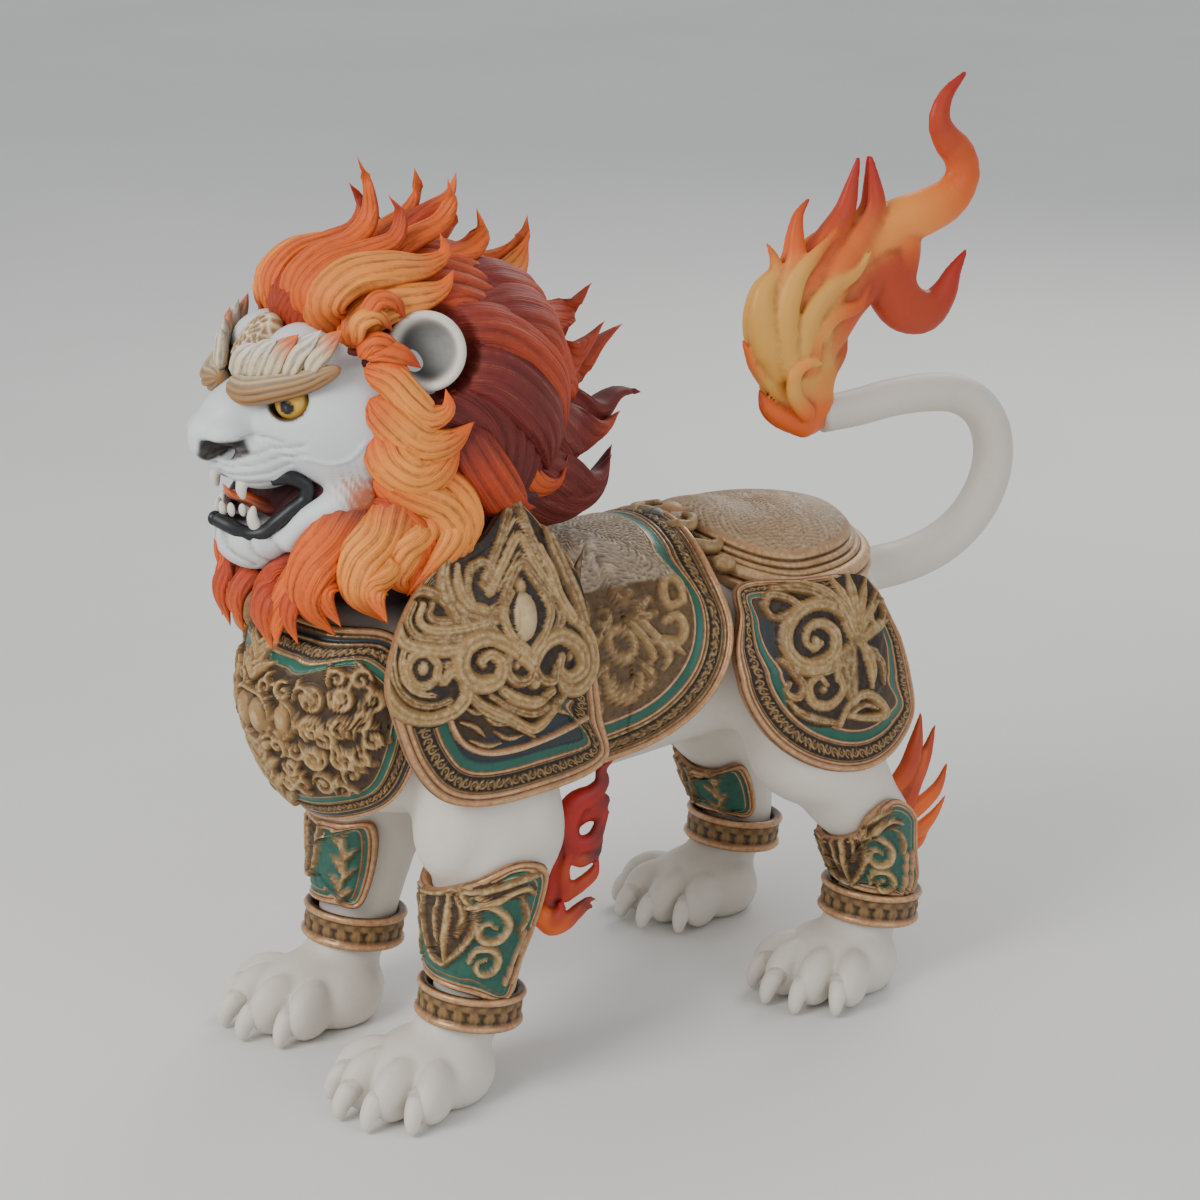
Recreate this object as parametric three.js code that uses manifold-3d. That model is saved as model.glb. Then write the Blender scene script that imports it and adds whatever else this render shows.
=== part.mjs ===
// Guardian lion statue in armour. Millimetres, +Z up. The lion faces -Y and its left side is +X.
import * as THREE from 'three';
import { mergeVertices } from 'three/addons/utils/BufferGeometryUtils.js';
import Module from 'manifold-3d';

const wasm = await Module();
wasm.setup();

// Overall figure: places are first given from a point on the ground between the paws.
const CENTRE = [3, 79];      // middle of the whole width and length, which becomes the origin
const GAP = 0.35;           // clearance between pieces that touch
const PLATE = 9;            // armour plate thickness
const RIM = 5;              // height of a rolled rim above its plate

// Trunk sections along Y: y, centre z, half width, half height
const TRUNK = [
  [-320, 392, 34, 40], [-296, 392, 76, 88], [-255, 388, 106, 120], [-190, 383, 119, 132],
  [-90, 371, 114, 124], [40, 364, 102, 110], [150, 373, 106, 110], [240, 372, 110, 108],
  [306, 370, 98, 92], [352, 376, 56, 56],
];
// Left leg sections from the top down: x, y, z, half width, half length
const FORE_LEG = [
  [58, -160, 440, 52, 84], [96, -157, 330, 62, 86], [109, -156, 236, 56, 64], [113, -170, 156, 45, 50],
  [114, -180, 108, 40, 42], [114, -190, 34, 40, 42],
];
const HIND_LEG = [
  [62, 232, 420, 66, 96], [96, 225, 332, 70, 90], [118, 240, 236, 56, 66], [125, 286, 182, 42, 50],
  [124, 303, 118, 37, 40], [121, 292, 34, 38, 42],
];
// Paws: which leg, centre x, y, turn outwards in degrees, size factor
const PAWS = [
  ['front_left', 112, -243, 14, 1], ['front_right', -108, -243, 0, 1],
  ['hind_left', 126, 244, 16, 0.97], ['hind_right', -121, 242, -4, 0.97],
];
// Tail centre line in the middle plane: y, z
const TAIL = [[340, 394], [385, 397], [430, 399], [475, 409], [512, 430], [538, 462], [547, 497],
  [541, 530], [522, 556], [492, 573], [452, 580], [405, 581], [355, 577], [306, 576]];
const TAIL_RADIUS = [24, 19];

const at = (x, y, z) => new THREE.Vector3(x, y, z);
const UP = at(0, 0, 1);
const mix = (a, b, t) => a + (b - a) * t;

// A closed mesh turned into a solid, with its faces pointing out
function toSolid(geometry) {
  geometry.deleteAttribute('normal');
  geometry.deleteAttribute('uv');
  const merged = mergeVertices(geometry, 1e-3);
  const points = merged.attributes.position.array;
  const faces = merged.index.array;
  const corner = (i) => at(points[3 * i], points[3 * i + 1], points[3 * i + 2]);
  let volume = 0;
  for (let f = 0; f < faces.length; f += 3) {
    volume += corner(faces[f]).dot(corner(faces[f + 1]).cross(corner(faces[f + 2])));
  }
  for (let f = 0; volume < 0 && f < faces.length; f += 3) {
    [faces[f], faces[f + 1]] = [faces[f + 1], faces[f]];
  }
  return new wasm.Manifold(new wasm.Mesh({
    numProp: 3, vertProperties: new Float32Array(points), triVerts: new Uint32Array(faces),
  }));
}

// A sphere's rows and columns laid on a new shape; the first and last rows are single points
function wrap(rows, cols, place) {
  const geometry = new THREE.SphereGeometry(1, cols, rows);
  const position = geometry.attributes.position;
  for (let row = 0; row <= rows; row++) {
    for (let col = 0; col <= cols; col++) {
      const p = place(row, ((col % cols) / cols) * 2 * Math.PI);
      position.setXYZ(row * (cols + 1) + col, p.x, p.y, p.z);
    }
  }
  return toSolid(geometry);
}

// Elliptical sections joined in order, closed flat at both ends; one corner lies along deep
function loft(sections, cols) {
  const last = sections.length - 1;
  return wrap(last + 2, cols, (row, turned) => {
    const turn = turned + Math.PI / 2;
    const s = sections[Math.min(Math.max(row - 1, 0), last)];
    if (row === 0 || row === last + 2) return s.centre.clone();
    return s.centre.clone().addScaledVector(s.wide, Math.cos(turn)).addScaledVector(s.deep, Math.sin(turn));
  });
}

function ellipsoid([x, y, z], [rx, ry, rz], cols = 10, rows = 7) {
  return wrap(rows, cols, (row, turn) => {
    const tilt = (Math.PI * row) / rows;
    const ring = Math.sin(tilt);
    return at(x + rx * ring * Math.cos(turn), y + ry * ring * Math.sin(turn), z + rz * Math.cos(tilt));
  });
}

// A three-sided spike from a base to a tip
function spike(base, tip, radius) {
  const across = tip.clone().sub(base).cross(UP).normalize();
  const upward = across.clone().cross(tip.clone().sub(base)).normalize();
  return wrap(2, 3, (row, turn) => {
    if (row !== 1) return (row === 0 ? base : tip).clone();
    const corner = base.clone().addScaledVector(across, radius * Math.sin(turn));
    return corner.addScaledVector(upward, radius * Math.cos(turn));
  });
}

// A round or flattened strand along a curve: its half width follows the given profile
function strand(points, outward, halfWidth, halfDepth, steps, cols, profile) {
  const curve = new THREE.CatmullRomCurve3(points, false, 'centripetal');
  const sections = [];
  for (let i = 0; i <= steps; i++) {
    const t = i / steps;
    const along = curve.getTangentAt(t);
    const side = outward.clone().cross(along).normalize();
    const out = along.clone().cross(side).normalize();
    const size = profile(t);
    sections.push({
      centre: curve.getPointAt(t), wide: side.multiplyScalar(halfWidth * size),
      deep: out.multiplyScalar(halfDepth * Math.min(1, size * 1.1)),
    });
  }
  return loft(sections, cols);
}

// Flames swell just above the root and end in a fine tip; curls thin out evenly
const FLAME_TIP = 0.05;
function flameProfile(t) {
  const swell = Math.sin(Math.PI * Math.min(1, 0.25 + 0.62 * t)) ** 0.8;
  return Math.max(FLAME_TIP, swell * (1 - t ** 5));
}
const curlProfile = (t) => mix(1, 0.45, t);
const join = (solids) => solids.reduce((whole, solid) => whole.add(solid));
const cut = (solid, tools) => tools.reduce((rest, tool) => rest.subtract(tool), solid);

// The casting of the lion itself; grow makes all of it a little larger
function alongBody(sections, cols, grow) {
  return loft(sections.map(([y, z, rx, rz]) => ({
    centre: at(0, y, z), wide: at(rx + grow, 0, 0), deep: at(0, 0, rz + grow),
  })), cols);
}

function neck(grow) {
  return loft([[-150, 400, 90, 100], [-190, 480, 82, 90], [-215, 560, 76, 78], [-225, 640, 72, 70]].map(
    ([y, z, rx, ry]) => ({ centre: at(0, y, z), wide: at(rx + grow, 0, 0), deep: at(0, ry + grow, 0) })), 6);
}

function leg(sections, side, grow) {
  return loft(sections.map(([x, y, z, rx, ry]) => ({
    centre: at(side * x, y, z), wide: at(rx + grow, 0, 0), deep: at(0, ry + grow, 0),
  })), 8);
}

// A paw: one rounded mass with four toe lobes in front, four claws, and a flat sole.
// The columns crowd into the front, where the toes are. Profile rows are share of the reach and height.
const PAW = { wide: 56, long: 78, heel: 84, cols: 13, crowd: 0.5, toeSpan: 66, toePitch: 33, lobe: 0.11 };
const PAW_PROFILE = [[0, 76], [0.58, 68], [0.93, 40], [1, 15], [0.86, 0], [0, 0]];
const TOES = [-1.5, -0.5, 0.5, 1.5];

function paw([, x, y, turn, size], grow) {
  const angle = THREE.MathUtils.degToRad(x > 0 ? turn : -turn);
  const spot = (across, forward, height) => at(
    x + size * (across * Math.cos(angle) + forward * Math.sin(angle)),
    y + size * (across * Math.sin(angle) - forward * Math.cos(angle)), size * height);
  const last = PAW_PROFILE.length - 1;
  const mass = wrap(last, PAW.cols, (row, turned) => {
    const swing = 180 * (turned / Math.PI - 1);
    const bearing = swing * mix(PAW.crowd, 1, Math.abs(swing) / 180);
    const front = Math.max(0, 1 - Math.abs(bearing) / PAW.toeSpan);
    const wave = Math.cos((2 * Math.PI * bearing) / PAW.toePitch + Math.PI);
    const [share, height] = PAW_PROFILE[row];
    const reach = share * (1 + PAW.lobe * Math.min(1, 2.5 * front) * wave) * (1 + grow / PAW.heel);
    const heading = THREE.MathUtils.degToRad(bearing);
    const long = Math.abs(bearing) < 90 ? PAW.long : PAW.heel;
    const lift = row < last - 1 ? grow : -grow;
    return spot(PAW.wide * reach * Math.sin(heading), long * reach * Math.cos(heading), height + lift);
  });
  const claws = TOES.map((toe) => {
    const fan = THREE.MathUtils.degToRad(toe * 30);
    const along = (radius, height) => spot(0.72 * radius * Math.sin(fan), radius * Math.cos(fan) - 4, height);
    return spike(along(64, 30), along(86, 4), 13 + grow);
  });
  return join([mass, ...claws]);
}

function tail(grow) {
  const points = TAIL.map(([y, z]) => at(0, y, z));
  const size = (t) => (mix(...TAIL_RADIUS, t) + grow) / TAIL_RADIUS[0];
  return strand(points, at(1, 0, 0), TAIL_RADIUS[0], TAIL_RADIUS[0], 11, 6, size);
}

// The head: skull, cheeks, brows, muzzle, open jaw and bowl-shaped ears
const NOSE = [
  [-290, 694, 46, 40], [-340, 693, 36, 30], [-372, 682, 31, 24], [-398, 669, 29, 16], [-406, 666, 18, 9],
];
const SKULL = [[-134, 688, 44, 40], [-164, 688, 84, 70], [-216, 686, 104, 84], [-268, 682, 107, 84],
  [-308, 692, 84, 62], [-326, 700, 52, 40]];
const BROW = [[10, -362, 704], [40, -354, 706], [72, -326, 712], [96, -290, 726]];
const EAR = { centre: [106, -217, 735], radius: 35, hollow: 26, facing: [0.74, -0.62, 0.16] };

function ear(side, grow) {
  const facing = at(...EAR.facing).normalize();
  const [x, y, z] = EAR.centre;
  const across = facing.clone().cross(UP).normalize();
  const upward = across.clone().cross(facing);
  const ring = (depth, radius) => {
    const centre = at(x, y, z).addScaledVector(facing, depth);
    const mirror = (v) => at(side * v.x, v.y, v.z);
    return { centre: mirror(centre), wide: mirror(across.clone().multiplyScalar(radius)),
      deep: mirror(upward.clone().multiplyScalar(radius)) };
  };
  const bowl = loft([ring(-26 - grow, 16 + grow), ring(-16, 31 + grow), ring(4, EAR.radius + grow),
    ring(9 + grow, EAR.radius - 3 + grow)], 7);
  if (grow > 0) return bowl;
  return bowl.subtract(loft([ring(-12, 16), ring(14, EAR.hollow + 3)], 7));
}

function head(grow) {
  const round = (centre, radii, cols, rows) => ellipsoid(centre, radii.map((r) => r + grow), cols, rows);
  const parts = [
    alongBody(SKULL, 10, grow), alongBody(NOSE, 6, grow), round([0, -306, 664], [54, 60, 42], 8, 4),
    round([0, -300, 574], [50, 70, 26], 8, 4), round([0, -346, 561], [37, 35, 34], 7, 5),
  ];
  [-1, 1].forEach((side) => {
    parts.push(round([side * 33, -304, 731], [33, 36, 27], 6, 4));
    parts.push(round([side * 19, -358, 639], [34, 42, 26], 7, 4));
    const brow = BROW.map(([x, y, z]) => at(side * x, y, z));
    parts.push(strand(brow, at(side * 0.4, -1, 0.3), 13 + grow, 11 + grow, 3, 5, (t) => mix(1, 0.55, t * t)));
    parts.push(ear(side, grow));
  });
  return join(parts);
}

function lionBody(grow = 0) {
  const legs = [FORE_LEG, HIND_LEG].flatMap((sections) => [leg(sections, 1, grow), leg(sections, -1, grow)]);
  const paws = PAWS.map((p) => paw(p, grow));
  return join([alongBody(TRUNK, 8, grow), neck(grow), head(grow), tail(grow), ...legs, ...paws]);
}

// An armour plate: rings around a centre on a surface, with a rolled rim, a band and a raised field.
// surface(u, v) gives a point, outline(turn) the edge, and rows are [share of the way out, height].
const PLATE_ROWS = [[0.64, 6], [0.76, 0], [0.91, RIM], [1, RIM - 1]];

function plate({ centre, outline, surface, cols = 14, rows = PLATE_ROWS, depth = PLATE, grow = 0 }) {
  const step = 0.5;
  const offset = (u, v, height) => {
    const p = surface(u, v);
    const du = surface(u + step, v).sub(p);
    const dv = surface(u, v + step).sub(p);
    return p.addScaledVector(du.cross(dv).normalize(), height);
  };
  const inner = rows.length;
  const spread = (turn, share) => {
    const edge = outline(turn);
    const reach = Math.hypot(edge[0] - centre[0], edge[1] - centre[1]);
    const s = share * (1 + grow / reach);
    return [mix(centre[0], edge[0], s), mix(centre[1], edge[1], s)];
  };
  return wrap(inner + 2, cols, (row, turn) => {
    if (row === 0) return offset(...centre, rows[0][1] + depth + grow);
    if (row <= inner) return offset(...spread(turn, rows[row - 1][0]), rows[row - 1][1] + depth + grow);
    if (row === inner + 1) return offset(...spread(turn, 1), -grow);
    return offset(...centre, -grow);
  });
}

// Corners of one half, from the middle line to the middle line, with their mirror images
const bothSides = (half) => [...half, ...half.slice(1, -1).reverse().map(([u, v]) => [-u, v])];

// A closed smooth outline through a few named corners
function outlineOf(corners) {
  const curve = new THREE.CatmullRomCurve3(corners.map(([u, v]) => at(u, v, 0)), true, 'centripetal');
  return (turn) => {
    const p = curve.getPointAt((turn / (2 * Math.PI)) % 1);
    return [p.x, p.y];
  };
}

// Shoulder plates: a shield shape on each side, corners as y, z
const SHOULDER = [[-286, 438], [-279, 401], [-263, 356], [-238, 323], [-206, 308], [-140, 305], [-50, 320],
  [-60, 370], [-74, 450], [-84, 516], [-106, 548], [-134, 578], [-178, 551], [-223, 536], [-262, 500]];
const shoulderDepth = (y, z) => 152 - 0.001 * (y + 165) ** 2 - 0.0016 * Math.max(0, z - 410) ** 2
  - 0.0006 * Math.min(0, z - 410) ** 2;
const sidePoint = (side, depth) => (u, v) => at(side * depth(side * u, v), side * u, v);

function shoulderPlate(side, grow = 0) {
  const corners = SHOULDER.map(([y, z]) => [side * y, z]);
  const surface = sidePoint(side, shoulderDepth);
  return plate({ centre: [side * -165, 430], outline: outlineOf(corners), surface, grow });
}

// The guardian mask on a shoulder plate: boss, brow volutes, crown chevrons, scrolls and jaw
const MASK_CURLS = [
  [[-152, 444], [-177, 468], [-205, 470], [-216, 446], [-196, 436], [-190, 450]],
  [[-148, 444], [-125, 460], [-100, 456], [-92, 430], [-112, 426], [-116, 442]],
  [[-212, 462], [-250, 474], [-284, 470], [-291, 436], [-262, 411], [-226, 424], [-236, 444]],
];
const MASK_BARS = [
  [[-180, 530], [-140, 572], [-112, 524]],
  [[-218, 418], [-148, 382], [-84, 402]],
];
const MASK_BOSS = [-149, 480];

function shoulderMask(side) {
  const spot = ([y, z], lift) => at(side * (shoulderDepth(y, z) + PLATE + lift), y, z);
  const outward = at(side, 0, 0);
  const curls = MASK_CURLS.map((c) => strand(c.map((p) => spot(p, 6)), outward, 9, 10, 5, 3, curlProfile));
  const bars = MASK_BARS.map((c) => strand(c.map((p) => spot(p, 5)), outward, 8, 9, 2, 3, () => 1));
  const boss = ellipsoid(spot(MASK_BOSS, 6).toArray(), [14, 16, 24], 5, 4);
  return join([...curls, ...bars, boss]);
}

// Breastplate: wraps the chest; u is the angle round from the front, v the height
const CHEST = { backY: -196, wide: 124, deep: 142, middleZ: 392 };
function chestPoint(u, v) {
  const angle = THREE.MathUtils.degToRad(u);
  const drop = (v - CHEST.middleZ) / 150;
  const size = Math.sqrt(Math.max(0.1, 1 - drop * drop));
  return at(CHEST.wide * size * Math.sin(angle), CHEST.backY - CHEST.deep * size * Math.cos(angle), v);
}
const BREAST = [[0, 478], [34, 474], [64, 466], [74, 420], [70, 350], [60, 308], [34, 284], [0, 276]];

function breastplate(grow = 0) {
  const outline = outlineOf(bothSides(BREAST));
  return plate({ centre: [0, 384], outline, surface: chestPoint, cols: 16, grow });
}

// Barrel plate: a saddle; u is the angle over the back, v the place along the body
function barrelPoint(u, v) {
  const angle = THREE.MathUtils.degToRad(u);
  const wide = 126 + 0.0006 * (v + 40) ** 2;
  return at(wide * Math.sin(angle), v, 368 + 126 * Math.cos(angle));
}
const BARREL_ROWS = [[0.36, 5], [0.72, 5], [0.8, 0], [0.92, RIM], [1, RIM - 1]];
const BARREL = [[0, 116], [40, 108], [70, 106], [92, 82], [108, 40], [116, -10], [116, -70], [96, -112],
  [50, -120], [0, -124]];

function barrelPlate(grow = 0) {
  const outline = outlineOf(bothSides(BARREL));
  return plate({ centre: [0, 0], outline, surface: barrelPoint, cols: 16, rows: BARREL_ROWS, grow });
}

// Rump plate: a dome with stepped rims; rows are share of the half size and height
const RUMP = { y: 214, z: 456, wide: 118, back: 132, front: 100, rise: 40, droop: 8, frontLift: 26 };
const RUMP_STEPS = [[0.5, 36], [0.85, 20], [0.9, 9], [0.97, 8], [1, -4], [0.96, -14]];

function rumpPlate(grow = 0) {
  const { y, z, wide, back, front, rise, droop, frontLift } = RUMP;
  const under = [0.6];
  const rows = [...RUMP_STEPS.map(([share, height]) => [share, height + grow]),
    ...under.map((share) => [share, -14 * share - grow])];
  const dome = wrap(rows.length + 1, 16, (row, turn) => {
    if (row === 0) return at(0, y, z + rise + grow);
    if (row > rows.length) return at(0, y, z - grow);
    const [share, height] = rows[row - 1];
    const long = Math.sin(turn) > 0 ? back : front;
    const sway = frontLift * Math.max(0, -Math.sin(turn)) ** 2 - droop * Math.abs(Math.cos(turn));
    return at((wide * share + grow) * Math.cos(turn), y + (long * share + grow) * Math.sin(turn),
      z + height + sway * share);
  });
  const clasp = ellipsoid([0, y - front + 6, 492], [36 + grow, 24 + grow, 14 + grow], 8, 5);
  return dome.add(clasp);
}

// Hip plates: a hanging apron on each side, corners as y, z
const HIP = [[123, 452], [119, 425], [108, 393], [111, 354], [134, 310], [169, 278], [217, 256], [261, 251],
  [306, 262], [338, 284], [330, 330], [305, 386], [284, 426], [262, 442], [194, 450]];
const hipDepth = (y, z) => 118 + 0.34 * Math.min(90, 458 - z) + 0.1 * Math.max(0, 368 - z)
  - 0.001 * (y - 205) ** 2 - 0.0022 * Math.max(0, y - 240) ** 2;

function hipPlate(side, grow = 0) {
  const corners = HIP.map(([y, z]) => [side * y, z]);
  const surface = sidePoint(side, hipDepth);
  return plate({ centre: [side * 210, 352], outline: outlineOf(corners), surface, grow });
}

// The volute on a hip plate: a spiral rod with its fan of leaves
const VOLUTE = { y: 191, z: 397, radius: 30, turns: 1.5, fan: 3 };
function hipVolute(side) {
  const spot = (y, z, lift) => at(side * (hipDepth(y, z) + PLATE + lift), y, z);
  const outward = at(side, 0, 0);
  const steps = 7;
  const spiral = [];
  for (let i = 0; i <= steps; i++) {
    const t = i / steps;
    const angle = Math.PI * (0.1 - 2 * VOLUTE.turns * t);
    const radius = mix(VOLUTE.radius, 6, t);
    spiral.push(spot(VOLUTE.y + radius * Math.cos(angle), VOLUTE.z + radius * Math.sin(angle), 7));
  }
  const parts = [strand(spiral, outward, 7, 9, steps, 3, curlProfile)];
  for (let i = 0; i < VOLUTE.fan; i++) {
    const angle = THREE.MathUtils.degToRad(mix(80, 10, i / (VOLUTE.fan - 1)));
    const reach = (r) => spot(VOLUTE.y + 22 + r * Math.cos(angle), VOLUTE.z - 12 + r * Math.sin(angle), 6);
    parts.push(spike(reach(10), reach(48), 9));
  }
  return join(parts);
}

// Greaves: half tubes around the lower legs; u is the angle outwards from the front, v the height
function legSpot(sections, side, u, v, lift) {
  let i = 0;
  while (i < sections.length - 2 && sections[i + 1][2] > v) i++;
  const [a, b] = [sections[i], sections[i + 1]];
  const t = (a[2] - v) / (a[2] - b[2]);
  const [x, y, , rx, ry] = a.map((value, k) => mix(value, b[k], t));
  const angle = THREE.MathUtils.degToRad(u);
  return at(side * (x + (rx + lift) * Math.sin(angle)), y - (ry + lift) * Math.cos(angle), v);
}
const GREAVES = {
  front: {
    legs: FORE_LEG, centre: [25, 170],
    corners: [[-60, 216], [-30, 214], [0, 214], [40, 228], [84, 246], [112, 232], [118, 200],
      [108, 150], [100, 104], [50, 116], [0, 122], [-30, 124], [-60, 124]],
  },
  hind: {
    legs: HIND_LEG, centre: [20, 142],
    corners: [[-78, 172], [-40, 166], [0, 168], [40, 178], [80, 206], [110, 214], [128, 196],
      [124, 150], [118, 100], [60, 106], [0, 112], [-40, 112], [-78, 110]],
  },
};
const GREAVE_ROWS = [[0.42, 2], [0.84, 0], [1, 3]];

function greave(kind, side, grow = 0) {
  const { legs, corners, centre } = GREAVES[kind];
  const turned = corners.map(([u, v]) => [side * u, v]);
  const surface = (u, v) => legSpot(legs, side, side * u, v, 2);
  return plate({ centre: [side * centre[0], centre[1]], outline: outlineOf(turned), surface, cols: 11,
    rows: GREAVE_ROWS, depth: 5, grow });
}

// Anklets: tilted rings with rolled edges. Profile points are distance from the leg and height.
const ANKLET = { inner: 43, outer: 53, height: 34, tilt: 9, edge: 10, waist: 3 };
const ANKLETS = {
  front_anklet_left: [114, -186, 91], front_anklet_right: [-114, -186, 91],
  hind_anklet_left: [122, 300, 80], hind_anklet_right: [-122, 300, 80],
};
function anklet([x, y, z], grow = 0) {
  const { inner, outer, height, tilt } = ANKLET;
  const half = height / 2 + grow;
  const { edge, waist } = ANKLET;
  const profile = [[inner - grow, -half], [outer + grow, -half], [outer - waist, edge - half],
    [outer - waist, half - edge], [outer + grow, half], [inner - grow, half], [inner - grow, -half]];
  const ring = new THREE.LatheGeometry(profile.map(([r, h]) => new THREE.Vector2(r, h)), 11);
  ring.rotateX(Math.PI / 2).rotateX(THREE.MathUtils.degToRad(-tilt)).translate(x, y, z);
  return toSolid(ring);
}

// Mane: two rounded masses under rows of flame locks
const MANE_MASSES = [
  [[0, -172, 664], [142, 144, 158]], [[0, -244, 566], [122, 98, 84]], [[0, -262, 768], [64, 56, 48]],
];
// Locks of the left side as half width and points x, y, z; those with pair true have a twin on the right
const LOCKS = [
  { wide: 17, pair: false,
    points: [[12, -293, 762], [8, -285, 806], [2, -226, 824], [0, -214, 862], [0, -226, 898]] },
  { wide: 18, pair: true,
    points: [[24, -288, 762], [29, -286, 804], [35, -225, 820], [36, -204, 844], [36, -215, 864]] },
  { wide: 26, pair: true,
    points: [[48, -276, 755], [54, -284, 798], [60, -218, 804], [60, -170, 810], [58, -173, 828]] },
  { wide: 16, pair: true, points: [[24, -229, 780], [28, -189, 816], [32, -152, 843], [31, -147, 873]] },
  { wide: 18, pair: true, points: [[30, -200, 790], [30, -150, 800], [28, -114, 816], [26, -114, 840]] },
  { wide: 20, pair: false, points: [[34, -160, 762], [24, -100, 768], [10, -58, 784], [2, -40, 808]] },
  { wide: 22, pair: false, points: [[20, -110, 746], [6, -46, 726], [0, -8, 722], [0, 14, 742]] },
  { wide: 28, pair: false,
    points: [[40, -90, 712], [16, -38, 676], [0, 4, 664], [0, 30, 690], [0, 50, 700]] },
  { wide: 24, pair: false,
    points: [[30, -76, 664], [12, -18, 618], [4, 26, 620], [0, 48, 636], [0, 72, 633]] },
  { wide: 27, pair: false, points: [[30, -96, 590], [16, -40, 544], [6, 14, 548], [0, 38, 590]] },
  { wide: 24, pair: true,
    points: [[112, -205, 684], [106, -150, 664], [90, -112, 612], [76, -70, 580], [62, -38, 602]] },
  { wide: 26, pair: true, points: [[100, -190, 742], [90, -128, 712], [72, -76, 660], [56, -52, 600]] },
  { wide: 18, pair: true, points: [[90, -257, 727], [106, -243, 709], [124, -226, 684], [134, -214, 704]] },
  { wide: 24, pair: true, points: [[100, -262, 680], [114, -240, 648], [130, -210, 642], [141, -188, 672]] },
  { wide: 25, pair: true, points: [[102, -268, 612], [114, -240, 596], [130, -206, 562], [134, -236, 510]] },
  { wide: 20, pair: true, points: [[98, -280, 582], [108, -260, 556], [122, -276, 528], [136, -280, 497]] },
  { wide: 20, pair: true, points: [[80, -288, 574], [84, -297, 548], [88, -322, 520], [96, -306, 486]] },
  { wide: 22, pair: true, points: [[36, -302, 546], [38, -334, 530], [40, -354, 508], [42, -343, 473]] },
];
const LOCK_DEPTH = 0.62;    // lock thickness as a share of its width

function lock({ wide, points }, side) {
  const path = points.map(([x, y, z]) => at(side * x, y, z));
  const middle = path[Math.floor(path.length / 2)];
  const outward = middle.clone().sub(at(0, -150, 660)).normalize();
  return strand(path, outward, wide, wide * LOCK_DEPTH, path.length - 1, 3, flameProfile);
}

function mane(tools) {
  const masses = MANE_MASSES.map(([centre, radii]) => ellipsoid(centre, radii, 8, 5));
  const locks = LOCKS.flatMap((item) => (item.pair ? [lock(item, 1), lock(item, -1)] : [lock(item, 1)]));
  return cut(join([...masses, ...locks]), tools);
}

// Flames: each tongue is half width and points y, z (or x, y, z) that taper to a tip
const TAIL_TONGUES = [
  [[300, 600], [268, 640], [238, 690], [240, 725], [246, 756], 26],
  [[296, 620], [282, 680], [276, 735], [282, 772], [298, 799], 24],
  [[300, 640], [306, 700], [320, 752], [342, 800], [354, 838], 25],
  [[306, 650], [330, 705], [356, 752], [366, 800], [373, 836], 22],
  [[302, 630], [336, 690], [388, 752], [446, 780], [482, 806], [470, 846], [456, 872], [484, 912], 31],
  [[310, 640], [350, 690], [404, 680], [446, 662], [478, 680], [498, 723], 25],
  [[300, 606], [318, 622], [334, 634], [346, 657], 14],
  [[290, 620], [252, 640], [224, 668], [214, 690], 12],
];
function tailFlame(tools) {
  const flame = TAIL_TONGUES.map((row) => {
    const points = row.slice(0, -1).map(([y, z]) => at(0, y, z));
    return strand(points, at(1, 0, 0), row.at(-1), 17, points.length - 1, 4, flameProfile);
  });
  return cut(join([ellipsoid([0, 290, 596], [38, 46, 40], 8, 5), ...flame]), tools);
}

const ELBOW_TONGUES = [
  [[106, -82, 300], [112, -56, 262], [116, -44, 236], [116, -40, 216], 13],
  [[108, -86, 262], [114, -52, 230], [116, -30, 206], [118, -22, 216], 12],
  [[108, -92, 228], [114, -54, 190], [114, -24, 160], [114, -10, 176], 12],
  [[108, -96, 190], [112, -78, 158], [112, -40, 146], [112, -8, 164], 11],
];
const HOCK_TONGUES = [
  [[124, 320, 190], [125, 344, 210], [125, 352, 240], [125, 355, 278], 14],
  [[124, 324, 180], [125, 354, 200], [125, 366, 230], [125, 374, 260], 13],
  [[124, 322, 160], [125, 356, 168], [125, 384, 186], [125, 392, 214], 13],
  [[124, 320, 140], [125, 346, 140], [125, 372, 154], [125, 392, 176], 12],
];
const SPINE_SHIFT = 13;     // how far behind the roots the tongues join
function limbFlame(tongues, side, tools) {
  const outward = at(side, 0, 0);
  const root = tongues.map(([[x, y, z]]) => at(side * x, y + SPINE_SHIFT, z));
  const spine = strand(root, outward, 13, 12, 2, 4, () => 1);
  const flame = tongues.map((row) => {
    const points = row.slice(0, -1).map(([x, y, z]) => at(side * x, y, z));
    return strand(points, outward, row.at(-1), 10, 3, 3, flameProfile);
  });
  return cut(join([spine, ...flame]), tools);
}

// Paint colours of the pieces
const PAINT = {
  ivory: { color: 0xcfc9bf, roughness: 0.5, metalness: 0 },
  mane: { color: 0xc8632f, roughness: 0.5, metalness: 0 },
  flame: { color: 0xe8853f, roughness: 0.45, metalness: 0 },
  bronze: { color: 0xa88a63, roughness: 0.5, metalness: 0.2 },
  limbFlame: { color: 0xb0402c, roughness: 0.45, metalness: 0 },
};
const lion = new THREE.Group();

function addPiece(name, solid, paint) {
  const { vertProperties, triVerts } = solid.getMesh();
  const geometry = new THREE.BufferGeometry();
  geometry.setAttribute('position', new THREE.BufferAttribute(new Float32Array(vertProperties), 3));
  geometry.setIndex(new THREE.BufferAttribute(new Uint32Array(triVerts), 1));
  const piece = new THREE.Mesh(geometry, new THREE.MeshStandardMaterial(PAINT[paint]));
  piece.name = name;
  lion.add(piece);
}

const SIDES = { left: 1, right: -1 };
const bodyTool = lionBody(GAP);
const shoulderTools = Object.values(SIDES).map((side) => shoulderPlate(side, GAP));
const breastTool = breastplate(GAP);
const barrelTool = barrelPlate(GAP);
const rumpTool = rumpPlate(GAP);
const ankletTools = Object.values(ANKLETS).map((place) => anklet(place, GAP));

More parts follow.
